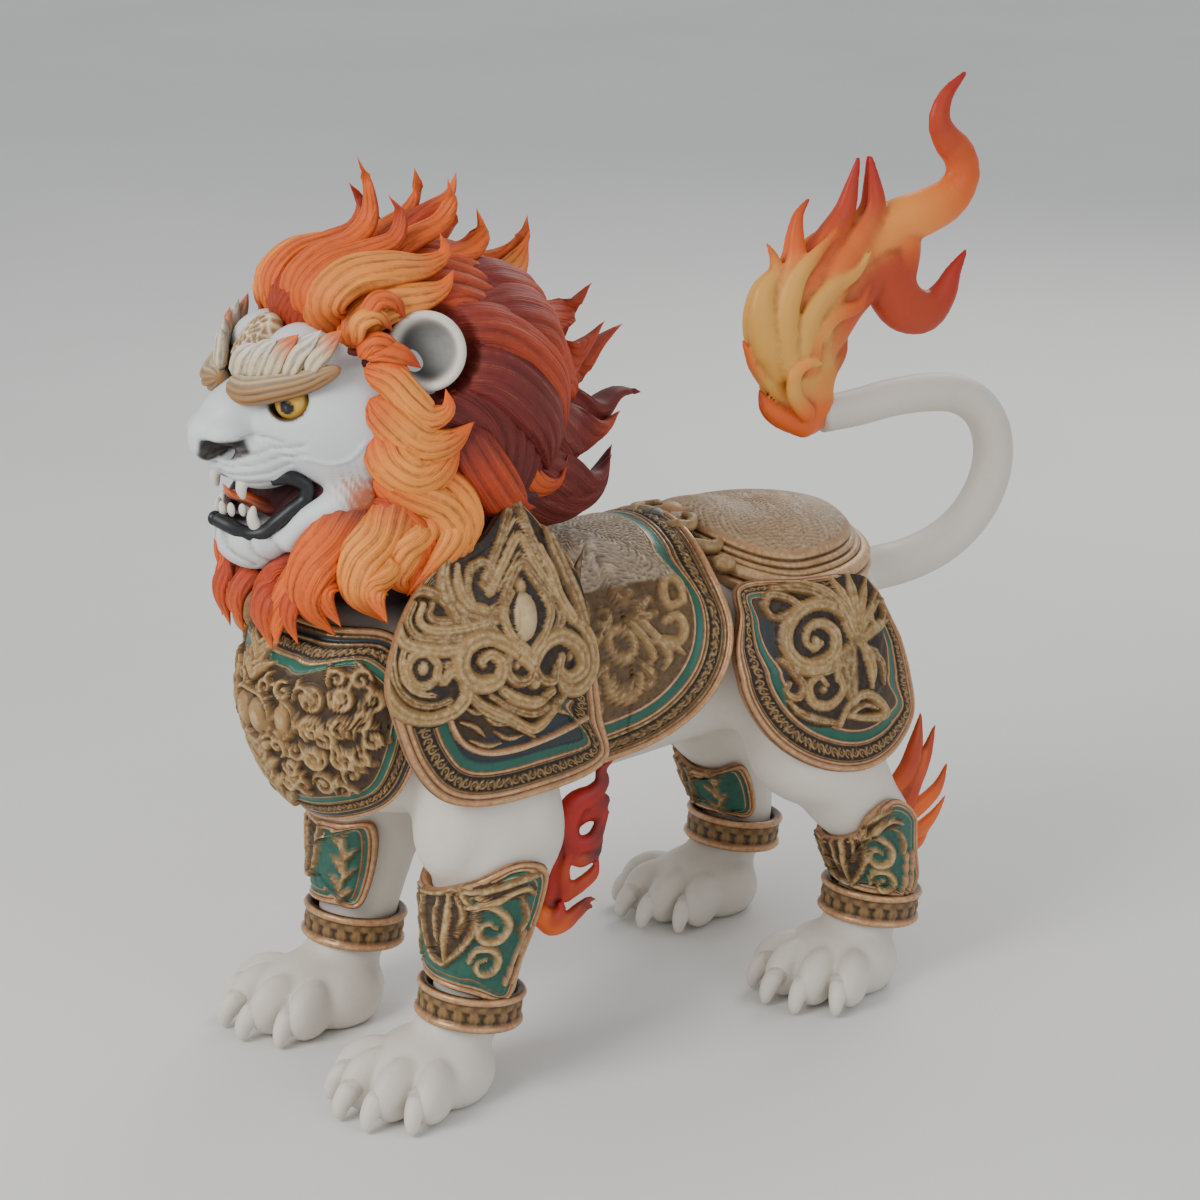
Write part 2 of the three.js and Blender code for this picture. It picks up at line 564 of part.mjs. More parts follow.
addPiece('lion_body', lionBody(), 'ivory');
addPiece('breastplate', cut(breastplate(), [bodyTool, ...shoulderTools]), 'bronze');
addPiece('barrel_plate', cut(barrelPlate(), [bodyTool, ...shoulderTools, rumpTool]), 'bronze');
addPiece('rump_plate', cut(rumpPlate(), [bodyTool]), 'bronze');
addPiece('mane', mane([bodyTool, ...shoulderTools, breastTool, barrelTool]), 'mane');
addPiece('tail_flame', tailFlame([bodyTool]), 'flame');
Object.entries(SIDES).forEach(([name, side]) => {
  const shoulder = shoulderPlate(side).add(shoulderMask(side));
  addPiece(`shoulder_plate_${name}`, cut(shoulder, [bodyTool]), 'bronze');
  const hip = hipPlate(side).add(hipVolute(side));
  addPiece(`hip_plate_${name}`, cut(hip, [bodyTool, rumpTool, barrelTool]), 'bronze');
  const elbow = limbFlame(ELBOW_TONGUES, side, [bodyTool, greave('front', side, GAP)]);
  addPiece(`elbow_flame_${name}`, elbow, 'limbFlame');
  const hock = limbFlame(HOCK_TONGUES, side, [bodyTool, greave('hind', side, GAP)]);
  addPiece(`hock_flame_${name}`, hock, 'limbFlame');
  Object.keys(GREAVES).forEach((kind) => {
    addPiece(`${kind}_greave_${name}`, cut(greave(kind, side), [bodyTool, ...ankletTools]), 'bronze');
  });
});
Object.entries(ANKLETS).forEach(([name, place]) => addPiece(name, cut(anklet(place), [bodyTool]), 'bronze'));
lion.position.set(-CENTRE[0], -CENTRE[1], 0);

export default lion;
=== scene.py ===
"""Guardian lion statue: the painted casting, its mane and its relief-carved armour, one operator a piece."""

import math

import bmesh
import bpy
import numpy as np
import openvdb
from mathutils import Matrix


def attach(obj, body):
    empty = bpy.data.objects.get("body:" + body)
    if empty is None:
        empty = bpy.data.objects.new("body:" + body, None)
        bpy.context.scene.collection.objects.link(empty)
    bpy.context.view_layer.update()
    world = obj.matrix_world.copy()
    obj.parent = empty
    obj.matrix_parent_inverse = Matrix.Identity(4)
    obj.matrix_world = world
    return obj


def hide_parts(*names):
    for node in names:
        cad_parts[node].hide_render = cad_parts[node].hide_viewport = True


bl_info = {
    "name": "Guardian Lion Statue",
    "version": (1, 0, 0),
    "blender": (4, 5, 0),
    "location": "View3D > Sidebar > Lion",
    "description": "Models and paints a standing guardian lion in armour",
    "category": "Add Mesh",
}

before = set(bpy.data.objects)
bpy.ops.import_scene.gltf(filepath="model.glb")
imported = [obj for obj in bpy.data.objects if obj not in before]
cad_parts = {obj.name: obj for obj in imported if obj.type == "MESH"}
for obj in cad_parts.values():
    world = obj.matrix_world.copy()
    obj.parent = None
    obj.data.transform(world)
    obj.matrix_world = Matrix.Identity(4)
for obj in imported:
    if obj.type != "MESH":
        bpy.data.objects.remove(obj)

# Working sizes are in millimetres from a point on the ground between the paws, as in the part's source
MM = 0.001
CENTRE = np.array([3.0, 79.0, 0.0])
UP = np.array([0.0, 0.0, 1.0])
SIDES = {"left": 1, "right": -1}


# -------------------------------------------- curves and small sums
def unit(v):
    return v / np.maximum(np.linalg.norm(v, axis=-1, keepdims=True), 1e-9)


def mix(a, b, t):
    return a + (b - a) * t


def ease(x, low, high):
    """0 below low, 1 above high, and a soft step between."""
    t = np.clip((x - low) / (high - low), 0, 1)
    return t * t * (3 - 2 * t)


def spun(tilt, yaw):
    """A turn by tilt degrees about X and then by yaw degrees about Z."""
    return Matrix.Rotation(math.radians(yaw), 3, "Z") @ Matrix.Rotation(math.radians(tilt), 3, "X")


def scale_lip(row):
    """The profile of overlapping scales, which rise over one unit of row and drop at its end."""
    step = row - np.floor(row)
    return ease(step, 0, 0.55) * (1 - ease(step, 0.86, 1))


def curve(points, shares, closed=False):
    """Places at the given shares of the way along a smooth curve through some points."""
    p = np.asarray(points, float)
    if closed:
        p = np.vstack([p[-1:], p, p[:2]])
    else:
        p = np.vstack([2 * p[0] - p[1], p, 2 * p[-1] - p[-2]])
    a, b, c, d = p[:-3], p[1:-2], p[2:-1], p[3:]
    gap = np.maximum(np.linalg.norm(np.diff(p, axis=0), axis=1), 1e-6)[:, None] ** 0.5
    g0, g1, g2 = gap[:-2], gap[1:-1], gap[2:]
    m1 = g1 * ((b - a) / g0 - (c - a) / (g0 + g1) + (c - b) / g1)
    m2 = g1 * ((c - b) / g1 - (d - b) / (g1 + g2) + (d - c) / g2)
    t = (np.arange(12) / 12)[:, None, None]
    fine = (2 * t**3 - 3 * t**2 + 1) * b + (t**3 - 2 * t**2 + t) * m1
    fine = fine + (3 * t**2 - 2 * t**3) * c + (t**3 - t**2) * m2
    fine = np.vstack([fine.transpose(1, 0, 2).reshape(-1, p.shape[1]), c[-1:]])
    run = np.concatenate([[0], np.cumsum(np.linalg.norm(np.diff(fine, axis=0), axis=1))])
    s = np.asarray(shares, float) * run[-1]
    return np.stack([np.interp(s, run, fine[:, k]) for k in range(p.shape[1])], -1)


# -------------------------------------------- blanks that every shape starts from
_blanks = {}


def _read(bm):
    """The points and faces of a mesh, listed in the same order in every run."""
    bmesh.ops.recalc_face_normals(bm, faces=bm.faces[:])
    bmesh.ops.triangulate(bm, faces=bm.faces[:])
    bm.verts.index_update()
    points = np.array([v.co[:] for v in bm.verts])
    faces = np.array([[v.index for v in f.verts] for f in bm.faces])
    order = np.lexsort(points.T)
    faces = np.argsort(order)[faces]
    first = faces.argmin(1)[:, None]
    faces = np.take_along_axis(faces, (first + np.arange(3)) % 3, 1)
    return points[order], faces[np.lexsort(faces.T)]


def ball(rows, cols):
    """A sphere: for each corner its row from pole to pole and its turn, and the faces."""
    key = ("ball", rows, cols)
    if key not in _blanks:
        bm = bmesh.new()
        bmesh.ops.create_uvsphere(bm, u_segments=cols, v_segments=rows, radius=1)
        co, faces = _read(bm)
        bm.free()
        row = np.rint(np.arccos(np.clip(co[:, 2], -1, 1)) * rows / np.pi).astype(int)
        _blanks[key] = row, np.arctan2(co[:, 1], co[:, 0]), faces
    return _blanks[key]


def hoop(rows, cols):
    """A closed ring: each corner's turn round its section and its turn round the ring, and the faces."""
    key = ("hoop", rows, cols)
    if key not in _blanks:
        bm = bmesh.new()
        place = Matrix.Translation((3, 0, 0)) @ Matrix.Rotation(math.pi / 2, 4, "X")
        bmesh.ops.create_circle(bm, segments=rows, radius=1, matrix=place)
        spin = {
            "cent": (0, 0, 0), "axis": (0, 0, 1), "angle": 2 * math.pi, "steps": cols, "use_merge": True,
        }
        bmesh.ops.spin(bm, geom=bm.edges[:], **spin)
        bmesh.ops.remove_doubles(bm, verts=bm.verts[:], dist=1e-4)
        co, faces = _read(bm)
        bm.free()
        turn = np.arctan2(co[:, 1], co[:, 0])
        section = np.arctan2(co[:, 2], np.hypot(co[:, 0], co[:, 1]) - 3)
        _blanks[key] = section, turn, faces
    return _blanks[key]


PANEL_BACK = 5  # loops that carry a panel's edge round to its back


def panel(cells):
    """A square sheet closed behind: for each corner its share of the way out, its share of the way round and
    its loop behind the edge (0 in front), and the faces."""
    key = ("panel", cells)
    if key not in _blanks:
        bm = bmesh.new()
        bmesh.ops.create_grid(bm, x_segments=cells, y_segments=cells, size=1)
        edges = [e for e in bm.edges if e.is_boundary]
        for loop in range(1, PANEL_BACK + 2):
            new = bmesh.ops.extrude_edge_only(bm, edges=edges)["geom"]
            verts = [g for g in new if isinstance(g, bmesh.types.BMVert)]
            for v in verts:
                v.co.z = -0.1 * loop
            edges = [g for g in new if isinstance(g, bmesh.types.BMEdge) and g.is_boundary]
        bmesh.ops.pointmerge(bm, verts=verts, merge_co=(0, 0, -1))
        co, faces = _read(bm)
        bm.free()
        a, b = co[:, 0], co[:, 1]
        out = np.maximum(np.maximum(abs(a), abs(b)), 1e-9)
        p, q = a / out, b / out
        side = np.select([p > 0.999999, q > 0.999999, p < -0.999999], [0, 1, 2], 3)
        step = np.select([side == 0, side == 1, side == 2], [q + 1, 1 - p, 1 - q], p + 1) / 8
        loop = np.where(co[:, 2] < -0.95, PANEL_BACK + 1, np.rint(-10 * co[:, 2])).astype(int)
        _blanks[key] = np.where(out < 1e-6, 0, out), (side / 4 + step) % 1, loop, faces
    return _blanks[key]


# -------------------------------------------- a piece's mesh, put together shell by shell
class Casting:
    """Closed shells in working millimetres. Each corner has its paint, its height in the relief, which places
    the painted shade and highlight, its shine and its place in the hair (across, along, how strongly it is
    combed)."""

    def __init__(self):
        self.shells = []

    def add(self, points, faces, paint, relief=0.6, shine=0.0, hair=None):
        n = len(points)
        a, b, c = (points[faces[:, k]] for k in range(3))
        if np.einsum("ij,ij->", a, np.cross(b, c)) < 0:
            faces = faces[:, ::-1]
        paint = np.broadcast_to(np.asarray(paint, float), (n, 3))
        relief = np.broadcast_to(np.asarray(relief, float), (n,))
        shine = np.broadcast_to(np.asarray(shine, float), (n,))
        hair = np.zeros((n, 3)) if hair is None else hair
        self.shells.append((np.asarray(points, float), faces, paint, relief, shine, hair))

    def twin(self, since=0):
        """Adds the mirror image of every shell from number since on."""
        for points, faces, *coat in self.shells[since:]:
            self.shells.append((points * [-1, 1, 1], faces[:, ::-1], *coat))

    def make(self, name, material, slot, *nodes):
        """Makes the object, which stands for its CAD nodes."""
        starts = np.cumsum([0] + [len(s[0]) for s in self.shells[:-1]])
        points = (np.vstack([s[0] for s in self.shells]) - CENTRE) * MM
        faces = np.vstack([s[1] + start for s, start in zip(self.shells, starts)])
        mesh = bpy.data.meshes.new(name)
        mesh.vertices.add(len(points))
        mesh.vertices.foreach_set("co", points.astype(np.float32).ravel())
        mesh.loops.add(3 * len(faces))
        mesh.loops.foreach_set("vertex_index", faces.astype(np.int32).ravel())
        mesh.polygons.add(len(faces))
        mesh.polygons.foreach_set("loop_start", np.arange(0, 3 * len(faces), 3, dtype=np.int32))
        mesh.polygons.foreach_set("use_smooth", np.ones(len(faces), bool))
        mesh.update(calc_edges=True)
        coats = [np.concatenate([s[k] for s in self.shells]).astype(np.float32) for k in (2, 3, 4, 5)]
        rgba = np.hstack([coats[0], np.ones((len(points), 1), np.float32)])
        mesh.attributes.new("paint", "FLOAT_COLOR", "POINT").data.foreach_set("color", rgba.ravel())
        mesh.attributes.new("relief", "FLOAT", "POINT").data.foreach_set("value", coats[1])
        mesh.attributes.new("shine", "FLOAT", "POINT").data.foreach_set("value", coats[2])
        mesh.attributes.new("hair", "FLOAT_VECTOR", "POINT").data.foreach_set("vector", coats[3].ravel())
        mesh.materials.append(material)
        piece = bpy.data.objects.new(name, mesh)
        bpy.context.scene.collection.objects.link(piece)
        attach(piece, "root")
        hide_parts(*nodes)


def make_armour(casting, node):
    casting.make(f"{node}_relief", paint_pot("gilt_armour"), "armour_paint", node)


def coat(points, name):
    """One even coat of a colour over all the points."""
    return np.tile(colour(name), (len(points), 1))


# -------------------------------------------- strands, turned shapes and rounded lumps
def flame(t):
    swell = np.sin(np.pi * np.minimum(1, 0.25 + 0.62 * t)) ** 0.8
    return np.maximum(0.04, swell * (1 - t**5) * np.sqrt(np.minimum(1, 0.06 + t / 0.13)))


def strand(path, wide, thick, outward, rows=28, cols=24, size=flame, ridges=0, depth=0.16, seed=0.0):
    """A rounded or flattened strand along a curve, with ridges combed along its outer face.
    Returns points, faces, relief, hair and the share of the way along of each corner."""
    row, turn, faces = ball(rows, cols)
    t = np.arange(rows + 1) / rows
    centre = curve(path, t)
    along = unit(np.gradient(centre, axis=0))
    out = np.broadcast_to(np.asarray(outward, float), centre.shape)
    side = unit(np.cross(out, along))
    out = np.cross(along, side)
    swing = turn * (0.62 + 0.38 * (turn / np.pi) ** 2)
    grow = size(t)[row]
    weave = 0.5 * np.sin(5 * t[row] + seed) + 0.25 * np.sin(11 * t[row] + 2 * seed)
    groove = np.abs(np.cos(ridges * swing + weave)) ** 0.75 if ridges else np.ones(len(row))
    fade = np.clip(np.cos(swing) * 2 + 0.6, 0, 1) * ease(1 - t, 0.02, 0.2)[row]
    reach = grow * (1 - depth * fade * (1 - groove))
    points = centre[row] + side[row] * (wide * reach * np.sin(swing))[:, None]
    points = points + out[row] * (thick * reach * np.cos(swing))[:, None]
    # Relief low in the combed grooves and on the strand's inner side: painted shade there, painted highlight
    # on the ridges
    relief = mix(0.74, 0.3 + 0.56 * groove, fade) * mix(0.5, 1, ease(np.cos(swing), -0.4, 0.5))
    hair = np.stack([wide * grow * np.sin(swing) + seed * 40, t[row] * 100, fade], -1)
    return points, faces, relief, hair, t[row]


def lump(centre, radii, rows, cols, tilt=0.0, yaw=0.0):
    """An egg; tilt is in degrees about X and yaw about Z. Also gives each corner's direction."""
    row, turn, faces = ball(rows, cols)
    ring = np.sin(np.pi * row / rows)
    way = np.stack([ring * np.cos(turn), ring * np.sin(turn), np.cos(np.pi * row / rows)], -1)
    return np.asarray(centre, float) + (way * radii) @ np.array(spun(tilt, yaw)).T, faces, way


def turned(profile, centre, facing, rows, cols):
    """A shape turned on a lathe: profile points are place along facing and distance from it, pole to pole."""
    row, turn, faces = ball(rows, cols)
    sections = curve(profile, np.arange(rows + 1) / rows)
    facing = unit(np.asarray(facing, float))
    across = unit(np.cross(facing, UP))
    upward = np.cross(across, facing)
    depth, radius = sections[row, 0], np.where((row == 0) | (row == rows), 0, sections[row, 1])
    points = np.asarray(centre, float) + facing * depth[:, None]
    points = points + across * (radius * np.cos(turn))[:, None] + upward * (radius * np.sin(turn))[:, None]
    return points, faces, row / rows, turn


# -------------------------------------------- clay: shapes added and cut on a regular block
class Clay:
    """A block of soft clay, in cells of one step. Each shape gives its distance over open coordinates and
    its own low and high corners."""

    FAR = 50.0  # distance that stands for empty space

    def __init__(self, low, high, step):
        self.low, self.step = np.array(low, float), step
        self.axes = [np.arange(lo, hi + step, step, dtype=np.float32) for lo, hi in zip(low, high)]
        self.field = np.full([len(a) for a in self.axes], self.FAR, np.float32)

    def _work(self, shape, blend, join):
        distance, low, high = shape
        spans = []
        for axis, lo, hi in zip(self.axes, low, high):
            margin = blend + 3 * self.step
            start, stop = np.searchsorted(axis, [lo - margin, hi + margin])
            spans.append(slice(start, max(stop, start)))
        if any(s.start >= s.stop for s in spans):
            return
        grid = np.meshgrid(*[a[s] for a, s in zip(self.axes, spans)], indexing="ij", sparse=True)
        here = tuple(spans)
        self.field[here] = join(self.field[here], distance(*grid).astype(np.float32), blend)

    def add(self, shape, blend=0.0):
        self._work(shape, blend, soft_least)

    def cut(self, shape, blend=0.0):
        self._work(shape, blend, lambda a, b, k: -soft_least(-a, b, k))

    def eggs(self, table, work=None):
        """Adds eggs, or cuts them where work says so; a row is centre, radii, blend and any tilt and yaw."""
        for centre, radii, blend, *turns in table:
            (work or self.add)(egg(centre, radii, *turns), blend)

    def skin(self, mirror=False):
        """The clay's surface as points and faces; mirror completes a half made from x = 0 outwards."""
        field, low = self.field, self.low.copy()
        if mirror:
            field = np.concatenate([field[:0:-1], field])
            low[0] = -self.axes[0][-1]
        block = openvdb.FloatGrid(background=self.FAR)
        block.copyFromArray(np.ascontiguousarray(np.pad(field, 1, constant_values=self.FAR)))
        points, tris, quads = block.convertToPolygons(isovalue=0.0, adaptivity=0.0)
        quads = quads.reshape(-1, 4).astype(int)
        faces = np.vstack([quads[:, [0, 1, 2]], quads[:, [0, 2, 3]], tris.reshape(-1, 3).astype(int)])
        return (points - 1) * self.step + low, faces


def soft_least(a, b, k):
    """The lesser of two distances, with the crease between them filled over a width of k."""
    if k <= 0:
        return np.minimum(a, b)
    h = np.maximum(k - np.abs(a - b), 0) / k
    return np.minimum(a, b) - h * h * k / 4


def egg(centre, radii, tilt=0.0, yaw=0.0):
    """An egg of clay; tilt is in degrees about X, and yaw about Z comes after it."""
    c, r = np.asarray(centre, float), np.asarray(radii, float)
    back = np.array(spun(tilt, yaw).inverted())

    def distance(x, y, z):
        x, y, z = x - c[0], y - c[1], z - c[2]
        local = [(m[0] * x + m[1] * y + m[2] * z) / s for m, s in zip(back, r)]
        k0 = np.sqrt(local[0] ** 2 + local[1] ** 2 + local[2] ** 2)
        k1 = np.sqrt((local[0] / r[0]) ** 2 + (local[1] / r[1]) ** 2 + (local[2] / r[2]) ** 2)
        return k0 * (k0 - 1) / np.maximum(k1, 1e-6)

    reach = np.sqrt(((back.T * r) ** 2).sum(1))
    return distance, c - reach, c + reach


def rod(path, radii, steps=8):
    """A round bar of clay along a curve, its radius changing evenly through radii."""
    p = curve(path, np.linspace(0, 1, steps + 1))
    r = np.interp(np.linspace(0, 1, steps + 1), np.linspace(0, 1, len(radii)), radii)

    def distance(x, y, z):
        best = None
        for a, b, ra, rb in zip(p[:-1], p[1:], r[:-1], r[1:]):
            d = b - a
            t = ((x - a[0]) * d[0] + (y - a[1]) * d[1] + (z - a[2]) * d[2]) / (d @ d)
            t = np.clip(t, 0, 1)
            beside = [k - start - t * reach for k, start, reach in zip((x, y, z), a, d)]
            gap = np.sqrt(beside[0] ** 2 + beside[1] ** 2 + beside[2] ** 2) - (ra + (rb - ra) * t)
            best = gap if best is None else np.minimum(best, gap)
        return best

    return distance, p.min(0) - max(radii), p.max(0) + max(radii)


def column(sections, axis):
    """A lofted limb of clay. A section is its place along the axis, its middle's two other coordinates and
    its two half sizes."""
    s = np.asarray(sections, float)
    s = s[np.argsort(s[:, 0])]
    dense = curve(s, np.linspace(0, 1, 60))
    others = [k for k in range(3) if k != axis]

    def distance(*grid):
        place = grid[axis]
        c1, c2, r1, r2 = (np.interp(place, dense[:, 0], dense[:, k]) for k in (1, 2, 3, 4))
        p, q = (grid[others[0]] - c1) / r1, (grid[others[1]] - c2) / r2
        k0 = np.sqrt(p * p + q * q)
        k1 = np.sqrt((p / r1) ** 2 + (q / r2) ** 2)
        side = k0 * (k0 - 1) / np.maximum(k1, 1e-6)
        return np.maximum(side, np.maximum(dense[0, 0] - place, place - dense[-1, 0]))

    low, high = np.zeros(3), np.zeros(3)
    low[axis], high[axis] = s[0, 0], s[-1, 0]
    for k, (c, r) in zip(others, ((1, 3), (2, 4))):
        low[k], high[k] = (s[:, c] - s[:, r]).min(), (s[:, c] + s[:, r]).max()
    return distance, low, high


def above(height):
    """All the space below a height, to cut a flat sole."""
    low, high = np.array([-900.0, -900.0, height - 60]), np.array([900.0, 900.0, height])
    return (lambda x, y, z: z - height + 0 * x + 0 * y), low, high


def near(points, centre, radii, soft=0.25):
    """1 for points inside an egg, fading to 0 just outside it."""
    k = np.sqrt((((points - np.asarray(centre, float)) / radii) ** 2).sum(1))
    return 1 - ease(k, 1 - soft / 2, 1 + soft / 2)


def dab(paint, colour, amount):
    """Lays a colour over paint by amount."""
    return mix(paint, np.asarray(colour, float), amount[:, None])


# -------------------------------------------- colours and sizes that a user can change
def shade(code):
    """A colour as it is seen, written as six hex figures, turned into the linear one that the paint uses."""
    seen = [int(code[k : k + 2], 16) / 255 for k in (0, 2, 4)]
    return tuple(c / 12.92 if c <= 0.04045 else ((c + 0.055) / 1.055) ** 2.4 for c in seen)


def swatch(name, code, description):
    return bpy.props.FloatVectorProperty(
        name=name, description=description, subtype="COLOR", size=3, min=0, max=1, default=shade(code)
    )


def measure(name, description, default, low, high, subtype="UNSIGNED"):
    return bpy.props.FloatProperty(
        name=name, description=description, subtype=subtype, default=default, min=low, max=high
    )


class LionPaints(bpy.types.PropertyGroup):
    """Paint colours of the casting, its hair and its armour."""

    ivory: swatch("Ivory", "d5cec2", "Off-white of the body, legs and tail")
    chalk: swatch("Chalk", "d2d5d6", "Cooler white of the face")
    cream: swatch("Cream", "d9c7a4", "Brow and forehead medallion")
    tan: swatch("Tan", "a3743f", "Grooves of the brow")
    black: swatch("Black", "17181b", "Lips, nostrils and the mouth")
    eye: swatch("Eye", "d9a93c", "Eyeballs")
    amber: swatch("Amber", "f3943c", "Lightest hair, on the cheeks")
    honey: swatch("Honey", "dda24a", "Yellow-orange of the tail flame")
    orange: swatch("Orange", "df611b", "Hair of the crest and cheeks")
    ember: swatch("Ember", "b63f1a", "Red-orange hair tips")
    maroon: swatch("Maroon", "762722", "Hair behind the ears")
    plum: swatch("Plum", "4f252b", "Darkest hair, on the nape and beard roots")
    scarlet: swatch("Scarlet", "ae1f17", "Flames behind the forelegs")
    gold: swatch("Antique gold", "7d5b32", "Relief of the armour")
    straw: swatch("Straw", "9a784a", "Lighter scrolls of the armour")
    bone: swatch("Bone", "b79d75", "Boss on the guardian mask")
    copper: swatch("Copper", "b5845c", "Rolled rims of the armour")
    green: swatch("Green", "2a5f50", "Enamel bands of the armour")
    slate: swatch("Slate", "2c3338", "Sunken ground of the armour")


class LionSizes(bpy.types.PropertyGroup):
    """Sizes of the modelled detail, in millimetres."""

    head_clay: measure("Head clay", "Cell size of the head", 2.5, 1, 6)
    paw_clay: measure("Paw clay", "Cell size of the paws", 4, 1, 8)
    body_clay: measure("Body clay", "Cell size of the trunk", 7.5, 2, 10)
    groove: measure(
        "Hair groove", "Depth of the combed grooves, as a share of the lock", 0.12, 0, 0.5, "FACTOR",
    )
    rim: measure("Rim", "Height of the armour's rolled rims", 5, 1, 10)
    carving: measure("Carving", "Height of the scroll relief", 4, 1, 8)


def colour(name):
    return np.array(getattr(bpy.context.scene.lion_paints, name))


# -------------------------------------------- paint
class Recipe:
    """A material's nodes; inputs are values or the outputs of other nodes."""

    def __init__(self, name):
        self.material = bpy.data.materials.new(name)
        self.material.use_nodes = True
        self.tree = self.material.node_tree
        self.tree.nodes.clear()

    def put(self, kind, inputs=None, **settings):
        node = self.tree.nodes.new("ShaderNode" + kind)
        for key, value in settings.items():
            setattr(node, key, value)
        for key, value in (inputs or {}).items():
            if isinstance(value, bpy.types.NodeSocket):
                self.tree.links.new(value, node.inputs[key])
            else:
                node.inputs[key].default_value = value
        return node.outputs

    def read(self, attribute, output="Fac"):
        return self.put("Attribute", attribute_name=attribute)[output]

    def noise(self, place, scale, detail=3.0, rough=0.55):
        inputs = {"Vector": place, "Scale": scale, "Detail": detail, "Roughness": rough}
        return self.put("TexNoise", inputs)[0]

    def spread(self, value, low, high, to_low, to_high):
        ends = {"Value": value, "From Min": low, "From Max": high, "To Min": to_low, "To Max": to_high}
        return self.put("MapRange", ends)[0]

    def sum(self, a, b, operation="ADD"):
        return self.put("Math", {0: a, 1: b}, operation=operation)[0]

    def lay(self, amount, below, above, blend="MIX"):
        return self.put("Mix", {0: amount, 6: below, 7: above}, data_type="RGBA", blend_type=blend)[2]


# How each finish is laid: the painted shade in its hollows (a dark wash) and the painted highlight
# dry-brushed on its ridges, each as colour and amount, then its roughness, mottling, fine tooth, depth of
# combed lines, and metal on its shiny parts
FINISHES = {
    "ivory_casting": ("6f675c", 0.75, "f4f2ee", 0.35, 0.42, 0.035, 0.1, 0.25, 0.0),
    "mane_hair": ("4c160d", 0.75, "ffb878", 0.14, 0.54, 0.12, 0.12, 0.8, 0.0),
    "tail_flame_hair": ("7a2010", 0.6, "ffc87a", 0.1, 0.46, 0.05, 0.08, 0.0, 0.0),
    "limb_flame_hair": ("3f0c0a", 0.8, "f08a56", 0.2, 0.42, 0.08, 0.1, 0.0, 0.0),
    "gilt_armour": ("160f0a", 0.96, "e3cb9b", 0.62, 0.4, 0.16, 0.4, 0.0, 0.35),
}
# Noise to the metre: broad patches of tone, middling ones and the fine tooth
BROAD, MIDDLING, FINE = 11.0, 45.0, 170.0


def painted(name, hollow_shade_colour, hollow_shade_amount, light, light_amount, rough, mottle, grain, combed, metal):
    """Hand-laid matte paint: mottled colour, painted shade as a dark wash in the hollows, painted highlights
    dry-brushed on the ridges and a fine tooth.
    """
    r = Recipe(name)
    place = r.put("TexCoord")["Object"]
    broad = r.noise(place, BROAD)
    fine = r.noise(place, FINE, 4.0, 0.65)
    patch = r.noise(place, MIDDLING)
    relief, shine = r.read("relief"), r.read("shine")
    tone = r.spread(broad, 0.3, 0.7, 1 - mottle, 1 + mottle * 0.7)
    tone = r.sum(tone, r.spread(patch, 0.3, 0.7, 1 - mottle * 0.5, 1 + mottle * 0.4), "MULTIPLY")
    base = r.put("HueSaturation", {"Value": tone, "Color": r.read("paint", "Color")})[0]
    height = r.spread(fine, 0.0, 1.0, -0.5 * grain, 0.5 * grain)
    # The relief, with some fine noise and on hair the combed lines, sets where the painted shade and
    # highlight fall
    painted_lighting = r.sum(relief, r.spread(fine, 0.3, 0.7, -0.12, 0.12))
    if combed:
        parts = r.put("SeparateXYZ", {0: r.read("hair", "Vector")})
        across, along = r.sum(parts[0], 0.55, "MULTIPLY"), r.sum(parts[1], 0.012, "MULTIPLY")
        lines = r.noise(r.put("CombineXYZ", {0: across, 1: along})[0], 1.0, 2.0, 0.5)
        lines = r.sum(r.spread(lines, 0.32, 0.68, -1.0, 0.6), parts[2], "MULTIPLY")
        height = r.sum(height, r.sum(lines, combed, "MULTIPLY"))
        painted_lighting = r.sum(painted_lighting, r.sum(lines, 0.22, "MULTIPLY"))
    # Painted shade: a dark wash where the relief is low, in hollows and creases
    hollow_shade = r.spread(painted_lighting, 0.12, 0.68, hollow_shade_amount, 0.0)
    base = r.lay(hollow_shade, base, (*shade(hollow_shade_colour), 1))
    # Painted highlight: light dry-brushed where the relief is high, on ridges and crests
    ridge_highlight = r.spread(painted_lighting, 0.82, 1.08, 0.0, light_amount)
    base = r.lay(ridge_highlight, base, (*shade(light), 1))
    matte = r.spread(patch, 0.3, 0.7, rough, rough + 0.14)
    gloss = r.spread(shine, 0.0, 1.0, 0.0, -0.2)
    bump = r.put("Bump", {"Strength": 0.5, "Distance": 0.0016, "Height": height})["Normal"]
    inputs = {
        "Base Color": base, "Roughness": r.sum(matte, gloss), "Normal": bump, "Specular IOR Level": 0.4,
    }
    if metal:
        inputs["Metallic"] = r.sum(shine, metal, "MULTIPLY")
    shader = r.put("BsdfPrincipled", inputs)[0]
    r.put("OutputMaterial", {"Surface": shader})
    return r.material


_paint_pots = {}


def paint_pot(name):
    """The finish of that name, mixed once."""
    if name not in _paint_pots:
        _paint_pots[name] = painted(name, *FINISHES[name])
    return _paint_pots[name]


